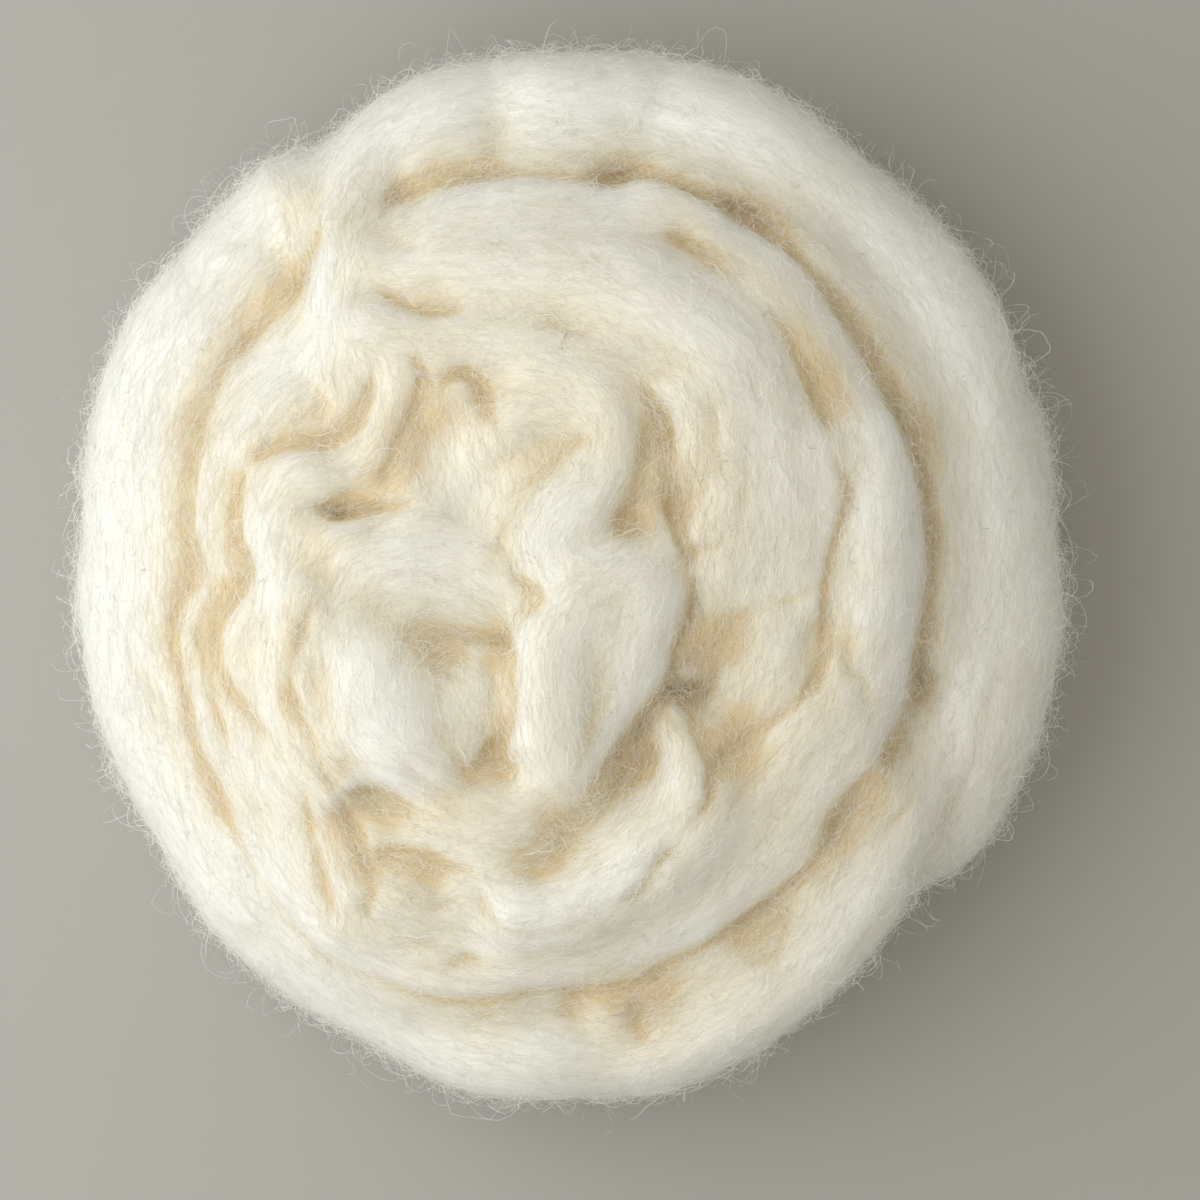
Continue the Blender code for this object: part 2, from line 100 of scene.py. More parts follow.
# The broad lap over the back and right of the middle, its tail, and the fold along its inner edge
BROAD_LAP = (
    (-35, 57, 70, 8, 15), (-22, 58, 74, 10, 18), (-2, 57, 77, 12.5, 20), (16, 53, 79, 13),
    (29, 44, 79, 13.5), (36, 31, 78, 14), (38, 16), (37, 4, 75, 12.5, 19),
)
BROAD_LAP_TAIL = (
    (42, 2, 70, 8, 15), (40.5, -10, 73, 10, 17), (37.5, -20, 73, 9.5, 16), (34, -28, 69, 7, 14),
)
BROAD_LAP_FOLD = (
    (-41, 50, 68, 4.5, 9), (-33, 47.5, 75, 5), (-20, 46, 77, 5.5, 10), (-5, 45, 77, 6), (9, 42),
    (20, 36, 74),
)
# The third turn, which shows only on the left and starts with a hook round the deepest hollow
THIRD_TURN = (
    (-38, 49, 66, 5, 10), (-35.5, 39, 73, 5, 9), (-37, 29, 74, 6, 10), (-44, 22.5, 73, 6, 9),
    (-54, 21, 72, 6, 10), (-60, 14, 71), (-60.5, 5, 70, 6.5, 11), (-59, -3, 70, 6), (-61.5, -12, 70, 7, 12),
    (-60.5, -23, 69, 7.5, 13), (-57.5, -35), (-51, -46, 70, 6.5, 12), (-47.5, -56, 69, 6),
    (-43.5, -67, 66, 6, 11),
)
# The S that runs down the middle, with the soft swell inside its bend
MIDDLE_S = (
    (-14, 37, 74, 4.5, 9), (-4, 37, 79, 6.5, 11), (5, 34, 81, 7.5, 12), (8.5, 27, 82, 7), (6, 19, 82, 8),
    (0.5, 12, 82, 9), (-2, 5.5, 82, 9.5), (4, -0.5, 81, 9), (13, -4, 77),
)
MIDDLE_S_SWELL = ((-9, 30, 70, 6, 10), (-5, 24, 72, 7, 11), (-3, 16, 74))
BACK_SWELL = (
    (-22, 33, 70, 6.5, 12), (-21, 26, 74, 10, 14), (-18.5, 16, 74, 12), (-16, 6, 73), (-13, -3, 70, 9, 12),
)
# The bowl left of the middle: its curled rim, its floor and the lobe across it
BOWL_RIM = (
    (-13, -4, 73, 6, 11), (-22, 1.5, 77, 8, 12), (-32, 2, 79, 9.5, 13), (-41, -1, 80, 10.5, 14), (-44, -9),
    (-42.5, -18, 80, 11, 15), (-41, -27), (-36, -33, 80, 10.5, 14), (-30, -37, 79, 8, 12),
    (-21, -42, 78, 7), (-12, -44, 77, 7.5), (-6, -40, 77, 7, 11), (-7, -33, 77, 5),
)
BOWL_FLOOR = ((-18, -11, 73, 6, 10), (-30, -11, 75.5, 8, 12), (-34, -22, 79, 10, 14), (-32, -32, 79, 9, 13))
BOWL_LOBE = ((-26, -18, 77, 6, 11), (-20, -20, 78.5, 8, 12), (-18.5, -26, 77), (-18.5, -32, 74.5, 7, 11))
# The tongue in the middle, a ridge on its left and a slope on its right
TONGUE_RIDGE = (
    (10, 0, 81, 8, 12), (0, -7, 84, 7.5), (-3.5, -16), (-3, -26, 83), (-1, -35, 80, 6.5, 11),
    (0.5, -42, 75, 4.5, 9),
)
TONGUE_SLOPE = (
    (16, 1, 78, 9, 12), (13, -8, 81, 11, 13), (9, -18), (5.5, -28, 79, 9, 12), (3.5, -37, 75, 6, 10),
)
# The strand that curls round below the tongue, and the matted wool between them
INNER_STRAND = (
    (19, -26, 68, 4, 9), (23.5, -34, 72, 5, 10), (22.5, -43, 74, 7, 12), (14.5, -53, 73, 8.5),
    (3.5, -61.5, 71, 8), (-8, -65.5, 69, 6, 11), (-15, -63, 66, 4, 9),
)
MATTED_WOOL = ((13, -36, 67, 6, 10), (8, -45, 70, 8, 12), (-2, -50, 72, 8.5), (-12, -55, 70, 6))
# The small folds at the front left, and in the pocket behind the hanging start
FRONT_RIDGE = (
    (-43, -42, 67, 5, 9), (-38, -48, 71, 5, 10), (-29, -49.5, 74, 6, 11), (-19, -50, 75), (-10, -50, 73),
)
FRONT_KNOBS = (
    (-41, -59, 66, 5, 9), (-32.5, -61.5, 71, 6.5, 11), (-27, -63.5, 68, 5, 10), (-20, -61, 70.5, 6.5, 11),
    (-14, -66, 67, 5, 10),
)
FRONT_BASIN = ((-36, -69, 62, 6, 10), (-25, -70, 63), (-14, -71, 62))
POCKET_FOLD = ((-57, 77, 48, 5, 12), (-53.5, 74, 53, 4.5), (-50, 65, 56), (-51, 56, 56, 4))
MIDDLE_WISP = ((21, 36, 70, 5, 9), (21.5, 22, 73), (22, 9, 72))
SUNK_LOBE = ((27.5, -3, 72, 4.5, 10), (27.5, -11, 73, 6, 11), (25, -17, 70, 5.5, 10))

# The slopes of wool beside the laps, where the strand lies pressed against its own last turn
RING_SLOPE = (
    (29, 65, 66, 5, 14), (38, 57, 69, 6), (46, 47, 68), (52, 35, 67), (56, 22), (57, 10), (55, -2),
    (53, -14), (49, -24, 68), (42, -33), (34, -42), (27, -51), (20.5, -58, 68, 5, 13), (14, -65, 65, 5, 12),
    (4, -71, 62), (-8, -73, 61, 5, 11),
)
INNER_SLOPE = ((29, -32, 68, 4, 9), (28, -39, 69), (25.5, -47, 70, 5, 10), (19, -54, 70, 6, 11))
OUTER_SLOPE_RIGHT = (
    (-26, 80, 57, 6, 12), (0, 81, 59), (24, 77, 60), (45, 66), (61, 47, 59), (70, 28, 58), (73, 8),
    (72, -12),
)
OUTER_SLOPE_LEFT = (
    (-60, 55, 56, 6, 12), (-69, 43, 58), (-75.5, 30), (-77.5, 16), (-78, 2), (-78.5, -12, 57), (-76, -26),
    (-71, -39, 56), (-64, -51), (-55, -63), (-45, -73), (-31, -80), (-15, -84),
)
FRONT_SLOPE_RIGHT = (
    (61, -42, 60, 5, 12), (52, -54), (43, -65, 59, 6), (34, -73.5, 58), (23, -80, 57), (9, -84, 57, 5),
)
FRONT_LEFT_FLOOR = ((-46, -42, 68, 5, 10), (-42, -51, 69), (-39, -60, 67))
HOOK_SLOPE = (
    (-41, 46, 71, 6, 12), (-44, 38, 73, 7, 13), (-44, 32, 72, 6, 12), (-52, 31, 71, 7, 13),
    (-61, 25, 67, 5, 11),
)
HOOK_SIDE_FLOOR = ((-31, 40, 71, 4, 9), (-32, 31, 72), (-34.5, 22))
HOOK_FLOOR = ((-53, 14, 68, 5, 10), (-44, 16, 69), (-36, 14, 71), (-30, 13, 73, 6, 11))
BOWL_DISH = (
    (-25, -2, 75, 8, 12), (-33, -4, 75.5, 9, 13), (-36, -11, 76), (-38, -20, 79, 10, 14),
    (-36, -29, 80, 11), (-28, -34, 77, 8, 12),
)
BOWL_SLOPE = (
    (-46, 7, 75, 5, 10), (-53, 4, 72), (-53.5, -2, 71), (-53, -9, 69, 4), (-54.5, -20), (-52, -31),
    (-46, -41, 67),
)
FRONT_SLOPE = ((-42, -54, 64, 4, 10), (-33, -55.5, 67, 5), (-24, -57, 68), (-14, -58, 67))
ARCH_FLOOR = ((-29, 40, 73, 5, 10), (-23, 37, 76, 6, 11), (-18, 33, 75), (-15, 27, 76))
BACK_SWELL_SLOPE = ((-10, 29, 78, 7, 11), (-2, 27), (-5, 21, 79), (-9, 12, 77, 6), (-13, 2, 76))
MIDDLE_WISP_SLOPE = ((18.5, 36, 75, 4, 9), (20.5, 26), (17, 15, 76, 5, 10), (21.5, 8, 73, 4, 9))
BROAD_LAP_SLOPE = ((27, 36, 76, 5, 10), (29, 26, 77), (30, 15, 76), (30, 5, 74))

VISIBLE_LAPS = (
    OUTER_LAP_RIGHT, OUTER_STRAND_RIGHT, OUTER_LAP_LEFT, CROSSING_LAP, SECOND_RING,
    BROAD_LAP, BROAD_LAP_TAIL, BROAD_LAP_FOLD, THIRD_TURN, MIDDLE_S, MIDDLE_S_SWELL, BACK_SWELL,
    BOWL_RIM, BOWL_FLOOR, BOWL_LOBE, TONGUE_RIDGE, TONGUE_SLOPE, INNER_STRAND, MATTED_WOOL,
    FRONT_RIDGE, FRONT_KNOBS, FRONT_BASIN, POCKET_FOLD, MIDDLE_WISP, SUNK_LOBE,
)

LAP_SLOPES = (
    RING_SLOPE, INNER_SLOPE, OUTER_SLOPE_RIGHT, OUTER_SLOPE_LEFT, FRONT_SLOPE_RIGHT, FRONT_LEFT_FLOOR,
    HOOK_SLOPE, HOOK_SIDE_FLOOR, HOOK_FLOOR, ARCH_FLOOR, BOWL_DISH, BOWL_SLOPE, FRONT_SLOPE,
    BACK_SWELL_SLOPE, MIDDLE_WISP_SLOPE, BROAD_LAP_SLOPE,
)

# The wool underneath, which fills the heap between the laps: x, y, top, radius, half_height, in mm
FILLINGS = ((-2, -2, 66, 54, 30), (0, 0, 56, 70, 24))
FILLING_POWER = 4.0

# The creases between the laps, seen from above. Columns, in mm: x, y, half_width, depth
CREASES = (
    # under the outer turn, from the hanging start over the back and down the right
    ((-36, 75, 1.5, 1.5), (-27, 79, 1.7, 3), (-15, 80, 1.6, 4.5), (-7, 80, 1.2, 2), (3, 79, 1.2, 2.5),
     (9, 79.5, 1.8, 11), (14.5, 80.5, 1.5, 6), (20, 79, 1.2, 3.5), (27, 76, 1.4, 6.5), (33, 73, 1.7, 11),
     (38, 70, 1.6, 8.5), (45, 64, 1.4, 4.5), (52, 56, 1.2, 4), (57, 49, 1.2, 3.5), (62, 40, 1.5, 4.5),
     (66.5, 30, 1.4, 4), (69.5, 22, 1.2, 3.5), (71.5, 12), (72, 3), (71.5, -6, 1.2, 4), (70, -14, 1.4, 5),
     (69.5, -20, 1.5), (67, -27, 1.4, 3), (63, -36, 1.4, 2.5)),
    # along the front, between the second ring and the crossing strand, and round the left
    ((60, -40, 1.4, 2.5), (54, -48, 2.2, 5.5), (50, -56, 1.5, 3.5), (44, -61.5, 1.2, 4),
     (36, -67.5, 1.2, 4.5), (28, -72.5, 1.2, 3.5), (20, -77, 1.2, 3), (12, -82, 1.5), (4, -82.5, 1.6),
     (-4, -82, 1.3, 2.5), (-14, -84, 1.2), (-25, -84.5), (-34, -82, 1, 2), (-45, -77.5), (-53, -71.5),
     (-60, -62), (-66, -51, 1.2, 2.5), (-70, -42, 1.8, 4), (-74, -33, 1.4, 3), (-76, -23, 1.2, 2.5),
     (-78.5, -13), (-77.5, -5, 1.4, 3), (-74.5, 1, 1.7, 4), (-75.5, 10, 1.4, 3), (-75, 20), (-73.5, 30),
     (-69, 41, 1.5, 4), (-65, 46, 1.7, 4.5), (-59, 52, 1.1, 2.2), (-54, 57, 1.4, 3.5), (-51.5, 63, 1.5, 4),
     (-49, 69, 1.2, 2)),
    ((13, -84, 1.4, 2.5), (14, -88), (14.5, -92, 1.4, 1.5)),
    ((44, -63, 1.2, 2), (42.5, -70), (41, -75), (36, -76.5, 1.2, 1.2)),
    # inside the second ring, down the scalloped edge of the broad lap and round the inner strand
    ((19, 68, 1, 1), (23.5, 66, 1.2, 4.5), (27.5, 63, 1, 3), (32, 59, 0.9, 0.8), (41, 51), (46, 43, 1.1, 2),
     (49, 36, 1.3, 3), (51, 30, 1.2, 2), (53, 23, 1.2, 2.2), (55.5, 17, 1.5, 4), (54, 11, 1.4, 3.5),
     (52, 4, 1.2, 3.2), (50.5, -4, 1.1, 3), (50.5, -12, 1, 2.2), (49, -20, 1.2, 3.5), (44, -26, 1, 2.5),
     (37, -31, 1, 2.6), (31, -35, 1.2, 3.2), (28.2, -39, 1.2, 5), (27.5, -44, 1.1, 3), (23, -51, 0.9, 0.8),
     (18, -56, 1.2, 4), (14.5, -61.5, 1.3), (10, -65, 0.9, 0.8), (5, -67, 0.9, 0.5), (0, -70.5, 0.9, 0.8),
     (-8, -71, 0.9, 1.5), (-14, -69, 1, 1.8), (-17, -64, 1, 1.4)),
    ((30, -9, 1.2, 0.8), (35, -7, 1.3, 1.2), (41, -5.5), (47, -3, 1.2, 1.8), (50, -2, 1.2, 2)),
    ((57, -7, 0.9, 1), (55.5, -13, 1, 2), (55.5, -19, 1, 2.5), (58, -20, 1, 2), (59, -26, 1, 1.5)),
    # the small fold on the broad lap, the dark line down from its corner, and the arch beside it
    ((-38, 58, 0.9, 1), (-34, 54.5, 1, 2), (-28, 52, 1, 1.8), (-22, 52.5, 1, 1.2)),
    ((-30, 43, 1.3, 3.5), (-28.5, 38, 1.5, 4.5), (-30, 33, 1.2, 3), (-33, 27, 1.1, 2.5),
     (-36, 20, 1.4, 3.5)),
    ((-26, 36, 1.1, 2), (-24, 39, 1.2, 2.5), (-20.5, 40, 1.3, 4), (-17.5, 38, 1.3, 3.5), (-16, 33, 1.5),
     (-14, 30, 1.4, 2)),
    # the hook over the deepest hollow, and the hollow
    ((-62, 24, 1, 1.5), (-55, 26.5, 1.3, 3), (-48, 27, 1.5, 3.5), (-43, 29.5, 1.5, 4), (-40.5, 34, 1.4),
     (-39, 39, 1, 2)),
    ((-51, 14.5, 0.6, 1), (-48, 13.3, 0.8, 3.5), (-45, 12.6, 0.9, 5), (-42, 13, 0.8, 3.5), (-37, 14, 1),
     (-32, 14, 0.9, 2)),
    # between the second ring and the third turn
    ((-65, 20, 1, 2), (-66, 13, 1.2, 2.5), (-65.5, 7, 1.4, 3), (-63, 2, 1.5, 4), (-65, -3, 1.1, 3),
     (-69, -8, 1), (-70, -14, 1, 2.5), (-68, -20, 1, 2), (-64, -26), (-60, -31, 1, 1.5)),
    ((-72, -6, 0.9, 1.5), (-73.5, -13), (-71, -20)),
    # down the left of the bowl into the front pocket
    ((-51, -6, 1, 1.8), (-52.5, -11, 1.4, 3.5), (-54.5, -18, 1.1, 2.2), (-54, -25, 1.2, 2.8),
     (-51, -31, 1.2, 2.4), (-49, -37, 1.1, 2), (-46, -42), (-43, -48, 1.4, 3.5), (-41, -54, 1.5, 4),
     (-38.5, -60, 1.3, 2.5), (-40, -66, 1.1, 2)),
    ((-43, -43, 1.2, 2.5), (-37, -43, 1.8, 4), (-32, -46, 1.4, 2.5)),
    ((-38, -55.5, 1.4, 2.5), (-31, -55, 1.3), (-25, -57, 1.2), (-19, -58, 1, 2)),
    ((-52, -43, 1, 1.5), (-51, -51, 1, 2), (-49, -58), (-47, -66, 1, 1.5)),
    ((-24, -77, 1, 2), (-20, -75.5, 1.4, 3.5), (-17, -77, 1, 2)),
    # inside the bowl, and up the left edge of the S
    ((-34, -3, 1.4, 0.6), (-27, -8, 1.3, 1.2), (-20, -11.5, 1.1, 2.2), (-15, -12, 1.1, 3),
     (-11.5, -13.5, 1), (-11, -20, 1, 2), (-11, -27, 1, 1.8), (-13, -32, 1.2, 2.8), (-17, -36, 1.3, 3),
     (-20, -40, 1.2, 1.5)),
    ((-21, -12, 1, 1), (-26, -16, 1.1, 1.4), (-29, -20, 1, 0.8)),
    ((-26, -26, 1.8, 0.8), (-25, -31, 2.4, 2.2), (-22, -36, 2.4, 2.4), (-19, -40, 1.8, 1.8)),
    ((-6, 26, 1.8, 1), (-1, 27, 2.1, 1.5), (3, 26.5, 1.5)),
    ((-4, 18, 1.2, 1), (-9, 13, 1.2, 1.5), (-11.5, 6, 1.2, 2), (-10, 0), (-5, -4, 1.4, 3), (-9, -8, 1, 2)),
    # faint folds down the broad lap
    ((29, 37, 1.1, 0.8), (28.5, 30, 1.2, 1.5), (30, 22, 1.1, 0.9)),
    ((33.5, 25, 1.1, 0.7), (34.5, 16, 1.2, 1.4), (32.5, 9), (27, 5.5, 1.1, 1.6), (24, 5, 1, 2)),
    ((34, 42, 1.5, 0.7), (39, 35, 1.8, 1.4), (46, 31, 1.4, 1.2)),
    # round the right of the tongue, and the hollows beside it
    ((25, -1, 0.9, 2.5), (24.3, -6, 1.1, 4), (22.5, -12, 1.1, 3.5), (20, -20, 1.2), (17, -26, 1.4, 4),
     (12, -32), (8, -37, 1.4, 3.5), (4, -43, 1.4, 3)),
    ((19, -22, 1.2, 3.5), (23, -22.5, 1.6, 6), (27, -22, 1.3, 4.5), (29.5, -17, 1, 1.5), (31, -10, 1, 0.8)),
    ((22, -24.5, 1.1, 1.6), (24.5, -28.5, 1.3, 2.6), (26.5, -33, 1.3, 3), (28, -38, 1.1, 2.5)),
    # the ridge down the tongue
    ((11, -6, 3.4, 1.4), (8, -13, 3.6, 2.4), (5.5, -23, 2.8, 2.8), (4, -32, 2, 2.6), (2.5, -38, 1.4, 1.4)),
    # the curls of the matted wool
    ((12, -40, 1.6, 1.6), (7, -46, 1.8, 2.2), (1, -50, 1.6, 2), (-7, -52, 1.3, 1.8), (-13, -55, 1.1, 1.4),
     (-12, -58, 0.9, 0.9), (-6, -58.5), (-1, -55.5, 0.9, 1), (4, -52, 1.2, 1.2)),
    ((15, -33, 1.5, 1.2), (10, -37, 1.7, 2), (5, -40, 1.5)),
    ((15.5, 36, 1.1, 2.5), (18.5, 31, 1.4, 4), (19.5, 24, 1.2, 3), (20, 18, 1.4, 3.5), (21, 13, 1.7, 6),
     (22, 8, 1.4, 5), (24, 4.5, 1.2, 4)),
    # wide soft dips: inside the bowl, under the tongue, and in the front
    ((-43, -2, 4, 1.2), (-37, -8, 5.5, 3), (-30, -13, 5.5, 3.8), (-24, -17, 4.5, 3)),
    ((15, -34, 3, 2), (10, -40, 3.5, 2.8), (4, -45, 4, 3), (-3, -50, 4, 2.8), (-10, -54, 3, 2)),
    ((4, 27, 2, 1.8), (-1, 24.5, 3, 2.6), (-7, 18.5, 3.5), (-12, 12, 3.5, 2.4), (-14, 4, 3, 2)),
    ((17, 33, 2, 1.5), (16, 26, 2, 1.6), (15, 18, 2.5, 2), (12, 11, 3, 2.2)),
    ((40, -66, 2.5, 2.3), (36, -70, 3), (31, -74, 2, 1.4)),
    ((26, -9, 2.2, 1.4), (26, -14, 2.8, 1.8), (27.5, -18.5, 2.2, 1.4)),
    ((-26, -86, 2.5, 1.1), (-18, -87, 3, 1.5), (-10, -86, 2.5, 1)),
    # soft dents in the outer turn
    ((-12, 98, 3.8, 1.5), (-14, 90, 3.8, 2.5), (-15, 83, 3, 2)),
    ((9, 100, 3, 1), (10, 92, 3, 2), (12, 84)),
    ((-88, -14, 1.2, 1.2), (-83, -22, 1.4, 1.5), (-80, -29), (-78, -37, 1.2, 1)),
    ((-57, 74, 1.5, 1.5), (-54, 68, 1.5, 2), (-52, 63)),
    ((86, -19, 1.9, 1.2), (82, -29, 1.9, 2), (80, -38), (74, -50, 1.9, 1.5)),
)

# Low banks of loose wool, in the skin alone, with the columns of a lap: beside the bowl and the hook, on the
# front strand and its tip, and beside the broad lap and the second ring
BOWL_BANK = (
    (-53, -4, 77, 3, 9), (-54, -12, 76, 4, 10), (-54.5, -20, 75.5), (-53, -28), (-50, -35),
    (-47, -41, 75, 3.5, 9),
)
HOOK_BANK = ((-57, 8, 73.5, 6, 6), (-55.5, 13, 74), (-53, 18, 73.5, 5))
STRAND_BANK = ((15, -57, 74, 3.5, 4.5), (8, -61.5, 74.5, 4.5, 5), (0, -65, 74.5, 5), (-9, -66, 74.5, 4.5))
TIP_BANK = ((19.5, -28.5, 70.5, 2, 3.5), (22.5, -34, 72, 2.5, 4), (24.5, -40, 73.5, 3, 4.5))
BROAD_BANK = ((50, 24, 73.5, 4, 5), (50, 14, 72), (48.5, 6, 71.5), (47, -2))
RING_BANK = ((60, 26, 69.5, 5, 5), (61, 14, 70, 5.5, 5.5), (60, 3, 70.5), (59.5, -5, 69.5, 5, 5))
SLOPES = (*LAP_SLOPES, BOWL_BANK, HOOK_BANK, STRAND_BANK, TIP_BANK, BROAD_BANK, RING_BANK)

# The field that melts the laps together, in mm
CELL = 1.25
FIELD_LOW = np.array((-112.0, -120.0, -6.0))
FIELD_HIGH = np.array((112.0, 120.0, 96.0))
REACH = 9.0  # how far outside the wool the field is still true
SAMPLE_STEP = 2.0  # between the samples along a lap
SECTION_POWER = 2.3  # 2 is an ellipse, more is fuller at the shoulders
MELT = 6.5  # laps melt together where their fields differ by less
FLOOR_GAP = 0.15  # under the wool
END_GAP = 1.001  # cells between a grid's end and the last place that is read
LAP_EDGE = 3.0  # the combed ridges fade out this near to the next lap
SWELL_LENGTH = 17.0  # laps swell and narrow about this often
SWELL_SHARE = 0.09

# How the creases are pressed in and their shade painted, in mm
CREASE_FOOT = 24.0  # they fade out from CREASE_FULL down to this height
CREASE_FULL = 36.0
CREASE_CELL = 0.5
CREASE_STEP = 0.5  # between the rows along a crease
CREASE_SPREAD = 2.2  # how much wider than its line a crease rounds the laps beside it
CREASE_CUT = 4  # how far to each side of its line a crease is pressed in, in spreads
CREASE_PRESS = 0.255  # how much of a crease's depth presses the laps in, and how much is its sharp line
CREASE_LINE = 0.16
CREASE_SHADE = 3.2  # how far the painted warm shade beside a crease spreads
WAVER_LENGTH = 9.0  # how often a crease comes and goes along its length
WAVER_WIDTH = 0.25  # and how much, as shares of its width and depth
WAVER_DEPTH = 0.4

# The faint wrinkles along the laps
WRINKLES = 150
WRINKLE_SAMPLES = (5, 13)  # how many samples of its lap one is long, at least and less than
SHORTEST_WRINKLE = 4
WRINKLE_START = 0.8  # the farthest that one starts to the side, in half widths of its lap
WRINKLE_DRIFT = 0.5  # the farthest that it drifts from there, and how far it sways, in the same measure
WRINKLE_SWAY = 0.1
WRINKLE_TURN = 6  # how far its sway turns along it, in radians
WRINKLE_END = 0.04  # how far into its fade it starts
WRINKLE_WIDTH = (0.35, 0.55)  # at its ends, and how much more in the middle
WRINKLE_DEPTH = (2.0, 0.35)  # the shape and scale of its random depth

# The relief of the combed skin. Columns, in mm: length along the lap, width round it, height
RIDGES = ((60.0, 7.0, 0.26), (34.0, 3.4, 0.10), (18.0, 1.7, 0.05))
LUMPS = ((15.0, 0.48), (7.0, 0.18), (3.2, 0.09))  # size, height

# Where each use of the noise reads it, so that no two laps or layers are alike
SWELL_SPOT = (0.37, 2.3)  # the row, and how far apart two laps are
WAVER_SPOT = 4.5
RIDGE_SPOT = (5.3, 11, 0.5)  # how far apart two laps and two layers are, and where the first one is
LUMP_SPOT = 7.7
GRAIN_SPOT = 3.7

# How the skin is settled on the field
SETTLE_STEPS = 2
SETTLE_STRIDE = 3  # mm, the longest single move
LEAST_SLOPE = 0.05  # squared
RELAX_STEPS = 2
RELAX_SHARE = 0.6

# How open the wool lies, from 0 deep in a crease to 1 on a ridge, which the colours turn into painted shade:
# darker and warmer where the wool is closed in
OPEN_REACHES = (2.5, 6.0)  # mm over the wool, where room is looked for
OPEN_CAP = 1.2  # the most that one reach counts
OPEN_RANKS = (3, 95)  # the shares of the skin, in percent, that count as closed in and as open
LINE_CLOSES = 0.05  # how much a millimetre of crease and of its shade close in, which makes the painted shade darker and warmer there
SHADE_CLOSES = 0.08

rng = np.random.default_rng(seed=11)


def base_lap():
    """The spiral in the middle of the underside, running on into the last turn of the base."""
    rows = []
    count = round(SPIRAL_TURNS * SPIRAL_ROWS_PER_TURN)
    for i in range(count):
        turns_left = SPIRAL_TURNS * (1 - i / count)
        radius = SPIRAL_END_RADIUS - SPIRAL_PITCH * turns_left
        angle = math.pi + 2 * math.pi * turns_left
        rows.append((radius * math.cos(angle), radius * math.sin(angle), *SPIRAL_SECTION))
    return (*rows, *BASE_TURN)


LAPS = (base_lap(), *VISIBLE_LAPS, *SLOPES)
SHOWN = 1 + len(VISIBLE_LAPS)  # the first laps, whose fibres show


# ---- small helpers

def smooth_rows(table, spacing):
    """The rows of a table, joined by a smooth curve and read again about every spacing mm."""
    rows = [table[0]]
    for row in table[1:]:
        rows.append((*row, *rows[-1][len(row):]))
    rows = np.array(rows, dtype=float)
    last = len(rows) - 1
    out = []
    for i in range(last):
        a, b, c, d = rows[max(i - 1, 0)], rows[i], rows[i + 1], rows[min(i + 2, last)]
        steps = max(1, round(float(np.hypot(*(c - b)[:2])) / spacing))
        t = (np.arange(steps) / steps)[:, None]
        out.append(
            0.5 * (2 * b + (c - a) * t + (2 * a - 5 * b + 4 * c - d) * t**2
                   + (3 * b - 3 * c + d - a) * t**3)
        )
    out.append(rows[-1:])
    return np.vstack(out)


def unit(vectors):
    """Vectors made one long."""
    return vectors / np.maximum(np.linalg.norm(vectors, axis=-1), 1e-9)[..., None]


def side_of(along):
    """The level direction to the left of each direction."""
    return np.column_stack((-along[:, 1], along[:, 0]))


def between(grid, cell, share):
    """A 3-D grid's values at points, each the given share of the way across its cell."""
    total = 0
    for corner in np.ndindex(2, 2, 2):
        bits = corner[::-1]
        weight = np.prod(np.where(bits, share, 1 - share), axis=1)
        value = grid[tuple((cell + bits).T)]
        total = total + (weight if value.ndim == 1 else weight[:, None]) * value
    return total


NOISE_CELLS = 32
NOISE_TABLE = np.pad(rng.random((NOISE_CELLS,) * 3).astype(np.float32) * 2 - 1, (0, 1), mode="wrap")


def noise(points):
    """Smooth noise from -1 to 1 at N x 3 points, one unit a cell."""
    cell = np.floor(points).astype(int)
    share = (points - cell).astype(np.float32)
    return between(NOISE_TABLE, cell % NOISE_CELLS, share * share * (3 - 2 * share))


def soft_min(a, b, width):
    """The lower of two fields, rounded off where they are within width of each other."""
    h = np.clip(width - np.abs(a - b), 0, None) / width
    return np.minimum(a, b) - h * h * width * 0.25


def blurred(grid, spread):
    """A grid smoothed by three moving means, about a bell curve of spread cells."""
    reach = max(1, round(spread))
    for axis in (0, 1) * 3:
        total = np.cumsum(np.insert(np.pad(grid, reach, mode="edge"), 0, 0, axis=axis), axis=axis)
        ahead = np.take(total, range(2 * reach + 1, total.shape[axis]), axis=axis)
        behind = np.take(total, range(0, total.shape[axis] - 2 * reach - 1), axis=axis)
        grid = (ahead - behind) / (2 * reach + 1)
        grid = grid[:, reach:-reach] if axis == 0 else grid[reach:-reach]
    return grid


def rounded(axes, middle, radii, power):
    """How far the grid on three axes lies outside a rounded form, in mm."""
    u, v = (((axes[k] - middle[k]) / radii[k]) ** 2 for k in range(2))
    w = np.abs((axes[2] - middle[2]) / radii[2]) ** power
    flat = (u[:, None] + v) ** (power / 2)
    q = (flat[:, :, None] + w) ** (1 / power)
    return ((q - 1) * min(radii)).astype(np.float32)


def crease_share(z):
    """How much of a crease there is at height z."""
    return np.clip((z - CREASE_FOOT) / (CREASE_FULL - CREASE_FOOT), 0, 1)


def wavered(table):
    """The rows of a crease read closely, wider and deeper in some places than in others."""
    rows = smooth_rows(table, CREASE_STEP)
    wave = noise(np.column_stack((rows[:, :2] / WAVER_LENGTH, np.full(len(rows), WAVER_SPOT))))
    rows[:, 2] *= 1 + WAVER_WIDTH * wave
    rows[:, 3] *= 1 + WAVER_DEPTH * wave
    return rows


# ---- the field

